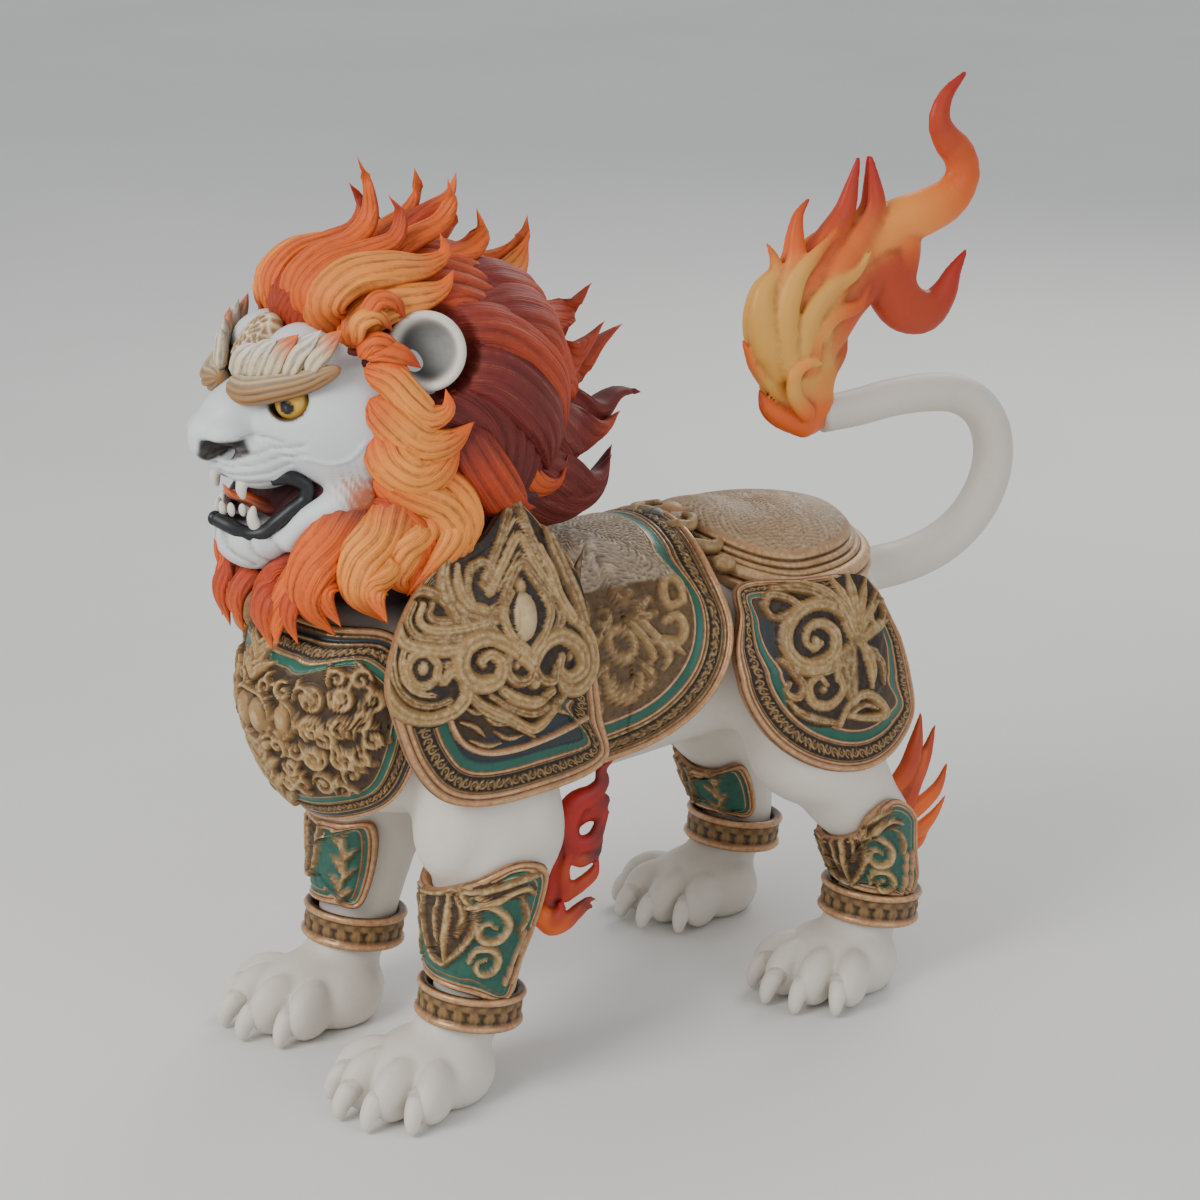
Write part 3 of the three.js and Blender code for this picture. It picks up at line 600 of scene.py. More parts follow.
# -------------------------------------------- the casting: trunk, legs, paws and tail
TRUNK = [
    (-320, 0, 392, 34, 40), (-296, 0, 392, 74, 86), (-255, 0, 388, 104, 118), (-190, 0, 383, 116, 130),
    (-90, 0, 371, 112, 122), (40, 0, 364, 100, 108), (150, 0, 373, 104, 108), (240, 0, 372, 108, 106),
    (306, 0, 370, 96, 90), (352, 0, 376, 56, 56),
]  # fmt: skip
NECK = [(400, 0, -150, 90, 98), (480, 0, -190, 82, 88), (560, 0, -215, 76, 78), (640, 0, -225, 72, 70)]
FORE_LEG = [
    (440, 56, -160, 46, 82), (330, 92, -157, 50, 80), (270, 104, -156, 54, 70), (236, 109, -156, 54, 62),
    (156, 113, -170, 44, 49), (108, 114, -180, 40, 41), (70, 114, -186, 37, 38),
]  # fmt: skip
HIND_LEG = [
    (420, 60, 232, 56, 92), (332, 88, 225, 56, 88), (280, 104, 230, 58, 76), (236, 116, 240, 54, 65),
    (182, 125, 286, 41, 49), (118, 124, 303, 37, 40), (70, 123, 300, 36, 38),
]  # fmt: skip
TAIL = [
    (340, 394), (385, 397), (430, 399), (475, 409), (512, 430), (538, 462), (547, 497), (541, 530),
    (522, 556), (492, 573), (452, 580), (405, 581), (355, 577), (306, 576),
]  # fmt: skip
# Eggs of clay on the limbs: centre, radii, how far they run into the rest, tilt
MUSCLES = [
    ((116, -124, 262), (42, 36, 50), 14, 8), ((108, -206, 268), (40, 28, 46), 12, -10),
    ((110, -150, 204), (46, 34, 44), 16), ((112, 216, 262), (50, 58, 52), 18, -14),
    ((121, 262, 214), (42, 46, 44), 16, 20), ((60, 262, 300), (60, 70, 70), 30),
]  # fmt: skip
# Paws: centre x, y, turn in degrees, size, and x, y of the ankle above
PAWS = [
    (112, -243, 14, 1.0, (114, -184)), (-108, -243, 0, 1.0, (-114, -184)), (126, 244, 16, 0.97, (123, 300)),
    (-121, 242, 4, 0.97, (-123, 300)),
]  # fmt: skip


def trunk_and_legs(casting):
    clay = Clay((0, -345, 66), (190, 375, 520), bpy.context.scene.lion_sizes.body_clay)
    clay.add(column(TRUNK, 1))
    clay.add(column(NECK, 2), 20)
    clay.add(column(FORE_LEG, 2), 26)
    clay.add(column(HIND_LEG, 2), 26)
    clay.eggs(MUSCLES)
    points, faces = clay.skin(mirror=True)
    # Painted shade: the front of the throat between beard and breastplate is darkened with half-strength plum
    neck_shade = ease(points[:, 2], 470, 492) * ease(-points[:, 1], 90, 120)
    paint = dab(coat(points, "ivory"), colour("plum") * 0.5, neck_shade)
    casting.add(points, faces, paint, 0.75)


FOOT = [((0, -12, 37), (40, 48, 31), 14, 14), ((38, 22, 26), (22, 40, 30), 12, 0, 6),
        ((-38, 22, 26), (22, 40, 30), 12, 0, -6)]  # fmt: skip
CLAWS = ((-47, 46, -24), (-17, 68, -6), (17, 68, 6), (47, 46, 24))  # across, forward and lean in degrees
CLAW_PATH = ((-8, 31), (6, 29), (17, 18), (21, 2.5))  # ahead of the claw's root and above the ground


def claw_taper(t):
    return np.sqrt(np.clip(1 - t**2.2, 0, 1)) * 0.97 + 0.03


def paw(casting, x, y, turn, size, ankle):
    """One paw, spread round its ankle, with four toes and claws."""
    c, s = math.cos(math.radians(turn)), math.sin(math.radians(turn))
    spin = np.array([[c, s, 0], [-s, c, 0], [0, 0, 1]])
    ankle_x, ankle_y, _ = (np.array([*ankle, 0]) - (x, y, 0)) @ spin.T / size
    clay = Clay((-76, -98, -4), (76, 104, 118), bpy.context.scene.lion_sizes.paw_clay)
    clay.add(egg((0, 16, 24), (49, 66, 38)))
    shin = [(ankle_x, ankle_y, 128), (ankle_x, ankle_y, 96), (0.5 * ankle_x, ankle_y - 20, 58)]
    clay.add(rod(shin, (36, 37, 38)), 14)
    clay.eggs(FOOT)
    for side in (-1, 1):
        inner_toe = (side * 18, -45, 31), (18, 36, 30), 3, 10, side * 8
        outer_toe = (side * 45, -23, 29), (18.5, 36, 29), 3, 8, side * 26
        clay.eggs((inner_toe, outer_toe))
    clay.cut(above(0), 3)
    shells = [clay.skin() + (colour("ivory"), 0.78)]
    for across, forward, lean in CLAWS:
        way = np.array([math.sin(math.radians(lean)), -math.cos(math.radians(lean)), 0])
        root = np.array([across, -forward, 0.0])
        path = [root + ahead * way + up * UP for ahead, up in CLAW_PATH]
        points, faces, _, _, t = strand(path, 10.5, 13, way + 0.5 * UP, 16, 18, claw_taper)
        points[:, 2] = np.maximum(points[:, 2], 0.4)
        # Claw roots are lower in relief, for painted shade where they meet the toes
        shells.append((points, faces, colour("ivory") * 1.05, 0.5 + 0.32 * ease(t, 0.3, 0.45)))
    for points, faces, paint, relief in shells:
        # Relief lowered within 16 mm of the ground: painted shade where the paw meets the floor
        low = ease(points[:, 2], 0, 16)
        casting.add((points * size) @ spin + (x, y, 0), faces, paint, relief * mix(0.75, 1, low))


def tail_rod(casting):
    path = [(0, y, z) for y, z in TAIL]
    points, faces, *_ = strand(path, 24, 24, (1, 0, 0), 64, 28, lambda t: mix(1, 19 / 24, t))
    casting.add(points, faces, colour("ivory"), 0.75)


class LION_OT_body(bpy.types.Operator):
    """Models the trunk, the legs with their paws and claws, and the tail"""

    bl_idname = "lion.body"
    bl_label = "Trunk, legs, paws and tail"

    def execute(self, context):
        casting = Casting()
        trunk_and_legs(casting)
        for place in PAWS:
            paw(casting, *place)
        tail_rod(casting)
        casting.make("body_casting", paint_pot("ivory_casting"), "ivory_paint", "lion_body")
        return {"FINISHED"}


# -------------------------------------------- the head
EAR = {"centre": (106, -217, 735), "facing": (0.74, -0.62, 0.16)}
# Along the way the ear faces, and distance from its axis: from the back, over the rolled rim, into the bowl
EAR_PROFILE = [
    (-27, 0), (-26, 14), (-17, 27), (-4, 33), (4, 36.5), (9, 36.5), (11.5, 33), (9.5, 29.5), (3, 27),
    (-6, 23), (-13, 14), (-15, 0),
]  # fmt: skip
MOUTH_LINE = [
    (40, -346, 620), (52, -330, 621), (57, -318, 612), (56, -319, 601), (51, -332, 590), (44, -343, 579),
    (36, -352, 569), (26, -363, 567), (14, -376, 574), (0, -383, 579),
]  # fmt: skip
BROW = [(10, -367, 706), (32, -362, 703), (54, -346, 707), (75, -322, 715), (91, -297, 727)]
BROW_TIPS = [
    ((16, -364, 712), (22, -359, 731), (36, -352, 746)),
    ((31, -358, 712), (37, -350, 735), (52, -340, 752)),
    ((45, -349, 713), (52, -339, 737), (67, -326, 757)),
    ((59, -338, 717), (66, -325, 741), (80, -310, 761)),
    ((73, -323, 722), (80, -309, 744), (91, -294, 762)),
]  # fmt: skip
# Creases of the face as y, z: over the lip puffs, beside the nose and on the chin
FACE_LINES = [
    [(-392, 641), (-374, 645), (-353, 649), (-331, 657)], [
        (-393, 632), (-376, 635), (-355, 639), (-331, 646),
    ],
    [(-390, 623), (-374, 626), (-354, 629), (-334, 635)], [(-382, 615), (-368, 617), (-350, 619)],
    [(-372, 660), (-356, 662), (-344, 659)], [(-380, 573), (-377, 552), (-356, 535)],
    [(-367, 567), (-361, 550), (-338, 536)], [(-350, 566), (-342, 553), (-326, 545)],
    [(-388, 566), (-388, 548), (-376, 535)],
]  # fmt: skip
CHEEK_CREASE = [(-340, 649), (-321, 642), (-309, 639), (-294, 644), (-282, 658)]


def head_skin(casting):
    clay = Clay((0, -426, 520), (118, -208, 800), bpy.context.scene.lion_sizes.head_clay)
    clay.add(egg((0, -218, 690), (101, 96, 84)))
    clay.add(egg((54, -262, 662), (52, 66, 64)), 18)
    clay.add(egg((40, -298, 672), (50, 52, 50)), 20)
    clay.add(egg((0, -312, 660), (52, 58, 44)), 18)
    clay.add(egg((33, -304, 729), (32, 36, 29)), 7)
    # Bridge and broad flat nose, which overhangs the nostrils
    clay.add(egg((0, -348, 690), (29, 40, 19), 22), 12)
    clay.add(egg((0, -367, 675), (27, 37, 16), 25), 10)
    clay.add(egg((19, -374, 664), (17, 23, 13), 8), 6)
    clay.add(egg((0, -387, 656), (15, 19, 22)), 7)
    # Jaw and chin
    clay.add(egg((0, -296, 572), (48, 68, 28)), 12)
    clay.add(egg((0, -341, 560), (42, 40, 35)), 10)
    clay.add(rod([
        (86, -280, 604), (72, -302, 592), (60, -322, 580), (48, -332, 562),
    ], (18, 15, 12, 12)), 14)
    # The open mouth goes in before the lip puffs hang over it
    clay.cut(egg((0, -362, 608), (46, 52, 24)), 6)
    clay.cut(egg((26, -350, 598), (29, 42, 28), 0, -18), 8)
    clay.cut(egg((0, -330, 596), (38, 40, 20)), 8)
    clay.add(egg((19, -342, 634), (34, 41, 28), -6, -8), 4)
    clay.add(egg((0, -356, 632), (13, 30, 17)), 5)
    clay.cut(egg((20, -388, 648), (11, 22, 8), -14), 3)
    clay.cut(egg((55, -330, 692), (22, 20, 18)), 3)
    points, faces = clay.skin(mirror=True)
    half = points * [1, 1, 1]
    half[:, 0] = np.abs(half[:, 0])
    paint, relief = coat(points, "chalk"), np.full(len(points), 0.8)
    puff = near(half, (19, -342, 634), (34, 41, 28), 0.16)
    inside = near(half, (18, -352, 600), (41, 48, 28), 0.2) * (1 - puff)
    paint = dab(paint, colour("black"), inside)
    # The black under the overhanging nose, partly black nostril paint and partly painted shade under the
    # overhang, narrows towards the cheek
    floor = 632 + 0.45 * np.maximum(0, half[:, 1] + 396)
    nostril_paint_and_shade = ease(659 - half[:, 2], -1, 2) * ease(half[:, 2] - floor, -1, 2) * ease(-half[:, 1], 362, 368)
    nostril_paint_and_shade = nostril_paint_and_shade * ease(half[:, 0], 3, 5) * ease(half[:, 1], -403, -399)
    paint = dab(paint, colour("black") * 0.6, nostril_paint_and_shade)
    relief = mix(relief, 0.55, nostril_paint_and_shade)
    socket = near(half, (55, -326, 690), (24, 24, 19), 0.2)
    paint = dab(paint, colour("tan") * 0.25, socket)
    # Orange fringe brushed up from the lower cheek
    x, y, z = half.T
    streak = np.sin(y * 0.9 + z * 0.35) * 0.5 + np.sin(y * 2.3 - z * 0.6) * 0.5
    edge = 640 + 0.3 * (-y - 300) + 6 * streak
    fringe = ease(edge - z, -6, 30) * ease(x, 60, 74) * ease(y + 4 * streak, -312, -284)
    paint = dab(paint, colour("tan") * 0.8, fringe * 0.8)
    paint = dab(paint, colour("orange") * 0.55, ease(fringe, 0.35, 0.9) * 0.8)
    paint = dab(paint, colour("plum"), ease(594 - half[:, 2], -4, 10) * ease(half[:, 1], -318, -300))
    # Lines pressed into the lip puffs and the chin, seen from the side, with painted shade along them
    for path in FACE_LINES:
        gap = distance_to(half * (0, 1, 1), [(0, y, z) for y, z in path])
        gap = np.where(half[:, 0] > 5, gap, 99)
        depth = (1 - ease(gap, 0.4, 4.2)) * 2.6
        points[:, 0] -= np.sign(points[:, 0]) * depth * 0.7
        points[:, 1] += depth * 0.5
        relief = np.minimum(relief, 1 - 0.62 * (1 - ease(gap, 0.3, 3.4)))
    crease = distance_to(half * (0, 1, 1), [(0, y, z) for y, z in CHEEK_CREASE])
    crease = np.where(half[:, 0] > 40, crease, 99)
    points[:, 0] += np.sign(points[:, 0]) * 2.2 * (1 - ease(crease, 0.3, 3.6))
    # Painted highlight along the ridge of the cheek crease, and painted shade in a band either side of it
    relief = np.maximum(relief, 1.15 * (1 - ease(crease, 0.3, 2.4)))
    relief = np.minimum(relief, 1 - 0.4 * ease(crease, 2.4, 4.0) * (1 - ease(crease, 4.0, 6.4)))
    casting.add(points, faces, paint, relief)


def distance_to(points, path):
    """How far each point is from a curve in space."""
    fine = curve(path, np.linspace(0, 1, 28))
    low, high = fine.min(0) - 6, fine.max(0) + 6
    gap = np.full(len(points), 99.0)
    close = np.all((points > low) & (points < high), 1)
    if close.any():
        gap[close] = np.sqrt(((points[close, None] - fine[None]) ** 2).sum(-1)).min(1)
    return gap


def roll_end(t):
    """The size of a roll that is rounded at its inner end and narrows to its outer one."""
    return np.maximum(0.03, np.sqrt(np.clip(1 - np.abs(2 * t - 1) ** 7, 0, 1)) * (1 - 0.5 * t**2))


def brow(casting):
    """The swept brow over one eye: a grooved roll with flame tips curling up from it."""
    outward = (0.45, -0.86, 0.25)
    points, faces, relief, hair, t = strand(BROW, 14.5, 14, outward, 44, 40, roll_end, 5, 0.26)
    # Tan low on the roll grading to cream above it: painted shade on the underside of the brow
    low = ease(points[:, 2] - curve(BROW, t)[:, 2], -2, 20)
    paint = mix(colour("tan"), colour("cream"), low[:, None])
    casting.add(points, faces, paint, relief * 1.2 - 0.32, 0, hair)
    for number, path in enumerate(BROW_TIPS):
        points, faces, relief, hair, t = strand(path, 12, 7, outward, 22, 22, flame, 3, 0.26, number)
        tip = colour("orange") if number in (2, 4) else colour("ivory") * 1.05
        paint = mix(colour("cream"), tip, ease(t, 0.3, 0.9)[:, None])
        casting.add(points, faces, paint, relief * 1.1 - 0.2, 0, hair)


def medallion(casting):
    """The oval boss between the brows, carved all over with small worm-like scrolls."""
    points, faces, way = lump((0, -334, 733), (23, 17, 35), 60, 76, -38)
    u, v = way[:, 0] * 21, way[:, 2] * 33
    worm = np.sin(0.62 * u + 1.3 * np.sin(0.33 * v)) + np.sin(0.55 * v + 1.6 * np.sin(0.41 * u + 1))
    ridge = 1 - np.abs(worm) / 2
    face = ease(-way[:, 1], 0.1, 0.5)
    points = points + way * ((ridge**2 * 2.4 - 0.8) * face)[:, None]
    # Tan in the troughs and cream on the ridges, with the relief to match: painted shade in the grooves
    paint = mix(colour("tan"), colour("cream"), ease(ridge, 0.4, 1)[:, None])
    casting.add(points, faces, paint, mix(0.55, 0.05 + 0.95 * ridge, face))


def ear(casting):
    points, faces, share, _ = turned(EAR_PROFILE, EAR["centre"], EAR["facing"], 44, 56)
    # Painted shade: the bowl of the ear is grey, and black towards its lower front side
    inside = ease(share, 0.62, 0.8)
    offset = points - EAR["centre"]
    dark = inside * ease(-offset[:, 1] - 0.3 * offset[:, 0] - 0.35 * offset[:, 2], -14, 16)
    paint = dab(np.tile(colour("ivory"), (len(points), 1)), shade("9d9f9c"), inside)
    casting.add(points, faces, dab(paint, colour("black"), dark * 0.9), mix(0.85, 0.6, inside))


def mouth_parts(casting):
    """Lips, teeth and tongue of the left half."""
    points, faces, *_ = strand(MOUTH_LINE, 8.2, 7.2, (0.4, -0.8, 0.4), 60, 14, lambda t: 0.85 + 0 * t)
    casting.add(points, faces, colour("black") * 1.4, 0.7, 0.5)
    for x, y, size in ((4.5, -381, 0.7), (12, -376, 0.62), (19, -368, 0.56)):
        points, faces, _ = lump((x, y + 4, 588), (4.2 * size, 3.6, 11 * size), 16, 16, 6, -2 * x)
        casting.add(points, faces, colour("ivory") * 1.08, 0.85, 0.4)
    fangs = (
        [(25, -364, 620), (26, -368, 611), (26, -366, 600)],
        [(29, -356, 573), (30, -360, 583), (30, -358, 594)],
    )
    for path in fangs:
        points, faces, *_ = strand(
            path, 6, 6, (0.3, -1, 0), 18, 16, lambda t: np.sqrt(np.clip(1 - t**1.6, 0, 1)) + 0.04,
        )
        casting.add(points, faces, colour("ivory") * 1.08, 0.85, 0.4)


def tongue(casting):
    path = [(0, -310, 578), (0, -335, 584), (0, -354, 595), (0, -366, 599), (0, -374, 611)]
    points, faces, relief, hair, t = strand(path, 19, 7, (0, 0, 1), 30, 28, flame, 1, 0.25)
    casting.add(points, faces, mix(colour("ember"), colour("orange") * 1.1, t[:, None]), relief, 0.5, hair)


def eyes(casting):
    points, faces, way = lump((53, -324, 691), (19, 19, 17), 32, 40)
    look = unit(np.array([0.56, -0.82, -0.04]))
    pupil = ease(way @ look, 0.9, 0.935)
    rim = ease(way @ look, 0.62, 0.5) * 0.5
    paint = dab(np.tile(colour("eye"), (len(points), 1)), colour("tan") * 0.6, rim)
    casting.add(points, faces, dab(paint, colour("black"), pupil), 0.8, 1.0)
    lid = [(40, -346, 688), (51, -343, 678), (64, -335, 677), (74, -322, 686), (78, -313, 697)]
    points, faces, *_ = strand(
        lid, 2.8, 2.8, (0.5, -0.8, 0), 26, 10, lambda t: np.sin(np.pi * mix(0.12, 0.88, t)),
    )
    casting.add(points, faces, colour("tan") * 0.22, 0.6)


class LION_OT_head(bpy.types.Operator):
    """Models the face, open jaws, brows, forehead medallion, ears, eyes, teeth and tongue"""

    bl_idname = "lion.head"
    bl_label = "Head"

    def execute(self, context):
        casting = Casting()
        head_skin(casting)
        medallion(casting)
        tongue(casting)
        start = len(casting.shells)
        for part in (brow, ear, mouth_parts, eyes):
            part(casting)
        casting.twin(start)
        casting.make("head_casting", paint_pot("ivory_casting"), "ivory_paint", "lion_body")
        return {"FINISHED"}


# -------------------------------------------- the mane
# Locks of the left side: half width, ridges, colours from root to tip, whether it has a twin on the right,
# and points
LOCKS = [
    (18, 4, "orange orange orange", False, [
        (12, -290, 752), (9, -300, 790), (7, -272, 812), (4, -237, 820), (0, -215, 838), (0, -214, 866),
        (0, -226, 898),
    ]),
    (19, 5, "orange orange ember", True, [
        (28, -286, 750), (31, -301, 784), (33, -280, 806), (34, -240, 815), (37, -208, 826),
        (37, -203, 848), (36, -215, 866),
    ]),
    (26, 6, "orange amber orange", True, [
        (46, -276, 744), (53, -292, 780), (57, -270, 800), (61, -228, 804), (62, -192, 803),
        (60, -169, 812), (58, -174, 830),
    ]),
    (22, 5, "orange amber orange", True, [
        (70, -262, 736), (74, -270, 758), (80, -246, 776), (84, -214, 780), (84, -186, 786),
        (80, -172, 800),
    ]),
    (17, 4, "orange orange orange", True, [
        (22, -234, 790), (26, -190, 818), (30, -156, 834), (30, -145, 853), (30, -148, 874),
    ]),
    (19, 4, "orange orange orange", True, [
        (32, -206, 794), (32, -157, 800), (30, -125, 805), (28, -111, 820), (26, -115, 842),
    ]),
    (20, 5, "orange amber orange", False, [
        (30, -166, 768), (28, -122, 770), (20, -82, 770), (8, -56, 786), (2, -41, 809),
    ]),
    (18, 4, "orange orange orange", False, [
        (-24, -150, 768), (-20, -104, 778), (-12, -66, 784), (-6, -44, 800), (-4, -40, 822),
    ]),
    (18, 4, "orange ember orange", False, [
        (2, -222, 800), (0, -186, 820), (-2, -150, 838), (0, -128, 852), (0, -120, 872),
    ]),
    (23, 5, "maroon ember ember", False, [
        (46, -150, 760), (30, -93, 744), (10, -43, 726), (0, -5, 722), (0, 15, 742),
    ]),
    (28, 6, "maroon ember ember", False, [
        (74, -160, 746), (56, -108, 722), (28, -48, 684), (8, -2, 664), (0, 28, 686), (0, 50, 701),
    ]),
    (25, 5, "maroon maroon maroon", False, [
        (52, -100, 680), (32, -54, 646), (12, -9, 622), (4, 27, 620), (0, 50, 636), (0, 72, 634),
    ]),
    (27, 5, "plum maroon maroon", False, [
        (62, -138, 606), (44, -80, 560), (22, -20, 540), (8, 18, 552), (0, 38, 590),
    ]),
    (22, 5, "maroon ember ember", True, [
        (66, -120, 740), (48, -66, 708), (34, -26, 684), (27, -4, 694), (24, 12, 712),
    ]),
    (22, 5, "maroon maroon ember", True, [
        (62, -90, 670), (48, -46, 634), (36, -10, 610), (28, 14, 612), (24, 30, 628),
    ]),
    (22, 5, "maroon maroon maroon", True, [
        (66, -96, 610), (52, -52, 578), (40, -16, 560), (32, 6, 568), (28, 18, 590),
    ]),
    (24, 6, "ember ember maroon", True, [
        (88, -212, 770), (84, -150, 760), (68, -92, 722), (54, -56, 664), (50, -44, 622), (46, -50, 588),
    ]),
    (26, 6, "maroon ember maroon", True, [
        (100, -208, 748), (98, -152, 734), (84, -102, 690), (70, -72, 638), (62, -56, 596),
    ]),
    (26, 6, "maroon maroon maroon", True, [
        (108, -204, 718), (108, -160, 706), (96, -116, 662), (82, -86, 616), (72, -70, 592),
    ]),
    (22, 5, "ember orange ember", True, [
        (116, -208, 692), (110, -160, 672), (96, -124, 624), (82, -90, 584), (72, -56, 578), (62, -37, 602),
    ]),
    (22, 5, "maroon ember ember", True, [
        (112, -196, 668), (108, -172, 628), (96, -140, 590), (86, -110, 568), (78, -84, 560),
    ]),
    (10, 3, "orange orange ember", True, [
        (92, -276, 765), (98, -262, 786), (101, -246, 782), (102, -236, 766),
    ]),
    (10, 3, "orange amber ember", True, [
        (88, -282, 745), (97, -280, 768), (102, -264, 772), (103, -250, 756),
    ]),
    (10, 3, "orange orange ember", True, [
        (92, -280, 735), (104, -270, 750), (110, -258, 748), (112, -250, 736),
    ]),
    (11, 3, "orange orange ember", True, [
        (94, -278, 738), (108, -262, 742), (117, -248, 737), (122, -232, 724),
    ]),
    (10, 3, "orange orange orange", True, [
        (96, -272, 725), (108, -262, 728), (116, -250, 722), (119, -240, 708),
    ]),
    (17, 5, "orange amber orange", True, [
        (94, -276, 724), (112, -260, 716), (123, -243, 694), (130, -227, 680), (135, -213, 687),
        (134, -215, 706),
    ]),
    (22, 6, "orange amber orange", True, [
        (100, -274, 698), (115, -258, 676), (127, -233, 654), (135, -211, 656), (141, -189, 673),
    ]),
    (24, 6, "orange amber orange", True, [
        (100, -268, 668), (114, -262, 640), (124, -241, 624), (131, -218, 632), (137, -202, 657),
    ]),
    (25, 6, "orange amber orange", True, [
        (100, -272, 622), (113, -246, 604), (123, -216, 588), (127, -203, 558), (127, -221, 531),
        (126, -238, 505),
    ]),
    (18, 5, "ember orange orange", True, [
        (98, -276, 602), (110, -251, 583), (118, -234, 557), (121, -245, 532), (124, -247, 508),
    ]),
    (20, 5, "ember amber orange", True, [
        (94, -284, 588), (104, -264, 564), (113, -258, 544), (123, -286, 523), (133, -279, 494),
    ]),
    (19, 5, "plum orange orange", True, [
        (78, -288, 578), (82, -298, 548), (87, -322, 520), (95, -306, 485),
    ]),
    (20, 5, "plum ember orange", True, [
        (36, -300, 548), (38, -338, 521), (41, -358, 499), (42, -350, 456),
    ]),
    (16, 4, "plum ember orange", True, [
        (60, -296, 556), (62, -330, 526), (66, -346, 498), (66, -336, 466),
    ]),
    (17, 4, "plum ember orange", False, [(0, -300, 548), (0, -342, 524), (0, -364, 500), (0, -358, 462)]),
    (24, 6, "plum orange orange", True, [
        (76, -261, 590), (68, -301, 550), (60, -333, 517), (56, -351, 492), (54, -352, 463),
    ]),
    (25, 6, "plum orange orange", True, [
        (90, -270, 612), (86, -297, 577), (80, -327, 543), (78, -334, 512), (80, -303, 471),
    ]),
    (25, 6, "ember amber orange", True, [
        (106, -246, 613), (110, -265, 578), (108, -289, 550), (106, -294, 519), (106, -265, 485),
    ]),
    (20, 5, "ember amber orange", True, [
        (114, -232, 611), (120, -225, 574), (120, -250, 554), (118, -260, 529), (118, -239, 509),
    ]),
    (22, 5, "orange amber orange", True, [
        (114, -236, 631), (126, -206, 603), (130, -198, 572), (129, -218, 544), (124, -254, 514),
    ]),
    (20, 5, "plum ember orange", True, [
        (50, -268, 561), (42, -306, 533), (34, -337, 511), (28, -355, 488), (24, -341, 457),
    ]),
    (20, 5, "plum plum maroon", True, [
        (104, -236, 570), (112, -196, 548), (112, -160, 530), (108, -140, 536),
    ]),
    (20, 5, "plum plum plum", True, [(96, -180, 590), (96, -150, 556), (90, -116, 544), (84, -92, 556)]),
]  # fmt: skip
MANE_HEART = np.array([0, -158, 660.0])
# Rounded masses under the locks: centre, radii, colour
MANE_MASSES = [
    ((0, -172, 664), (137, 138, 153), "maroon"), ((0, -244, 566), (116, 92, 78), "plum"),
    ((0, -262, 768), (60, 52, 44), "ember"),
]  # fmt: skip
RINGS = 26
# The grooves of a mass run in rings round this way, behind the cheek
RING_POLE = unit(np.array([1, -0.42, -0.32]))


def three_tones(names, t):
    root, middle, tip = (colour(name) for name in names.split())
    t = t[:, None]
    return np.where(t < 0.5, mix(root, middle, ease(t, 0.02, 0.4)), mix(middle, tip, ease(t, 0.55, 0.95)))


def behind_ear(points):
    """Presses hair in behind the bowl of the ear."""
    facing = unit(np.array(EAR["facing"]))
    offset = points - EAR["centre"]
    depth = offset @ facing
    aside = np.linalg.norm(offset - depth[:, None] * facing, axis=1)
    press = np.maximum(0, depth + 30) * (1 - ease(aside, 34, 50)) * (offset[:, 0] > -60)
    return points - facing * press[:, None]


def mane_mass(casting, centre, radii, tone):
    """One half of a rounded mass, whose grooves run in rings round the cheek, with a hollow for the ear."""
    rows, cols = (140, 52) if tone == "maroon" else (70, 32)
    row, turn, faces = ball(rows, cols)
    tilt = np.pi * row / rows
    across = unit(np.cross(RING_POLE, UP))
    upward = np.cross(across, RING_POLE)
    way = np.cos(tilt)[:, None] * RING_POLE
    way = way + (np.sin(tilt) * np.cos(turn))[:, None] * across
    way = way + (np.sin(tilt) * np.sin(turn))[:, None] * upward
    wave = np.abs(np.cos(RINGS * tilt + 0.9 * np.sin(2 * turn) + 0.5 * np.sin(5 * turn + 6 * tilt))) ** 0.8
    reach = 1 + 0.026 * (wave - 1) * ease(np.sin(tilt), 0.1, 0.4) - 0.08 * ease(-way[:, 0], -0.02, 0.12)
    points = np.asarray(centre, float) + way * np.asarray(radii) * reach[:, None]
    points = behind_ear(behind_ear(points) * [-1, 1, 1]) * [-1, 1, 1]
    paint = np.tile(colour(tone), (len(points), 1))
    if tone == "maroon":
        paint = dab(paint, mix(colour("ember"), colour("orange"), 0.35), ease(points[:, 2], 742, 806))
        paint = dab(paint, colour("plum"), ease(-points[:, 2], -640, -560) * 0.6)
    hair = np.stack([tilt * 150, turn * 20, 0.8 + 0 * tilt], -1)
    # Relief low in the ring grooves, for painted shade in them and painted highlight on the rings
    casting.add(points, faces, paint, 0.25 + 0.45 * wave, 0, hair)


def mane_lock(casting, number, wide, ridges, tones, points):
    points = np.array(points, float)
    if tones.split()[1] == "maroon" or tones.startswith("maroon"):
        # lifts the dark locks out of the mass beneath them
        centre, radii, _ = MANE_MASSES[0]
        deep = np.linalg.norm((points - centre) / radii, axis=1)
        lift = np.maximum(1, np.linspace(0.96, 1.04, len(points)) / deep)
        points = centre + (points - centre) * lift[:, None]
        wide = wide * (1.4 if points[-1, 1] > 10 else 1.2)
        if points[-1, 1] > 10:
            away = unit(points[-1] - MANE_HEART)
            points[-2:] += np.outer((9, 17), away)
    middle = points[len(points) // 2]
    t = np.arange(29)[:, None] / 28
    outward = mix(unit(middle - MANE_HEART), unit(curve(points, t[:, 0]) - MANE_HEART), 0.5)
    groove = bpy.context.scene.lion_sizes.groove
    shell = strand(points, wide, wide * 0.55, outward, 28, 5 * ridges + 4, flame, ridges, groove, number)
    points, faces, relief, hair, t = shell
    if "maroon" in tones:
        points = behind_ear(points)
    casting.add(points, faces, three_tones(tones, t), relief, 0, hair)


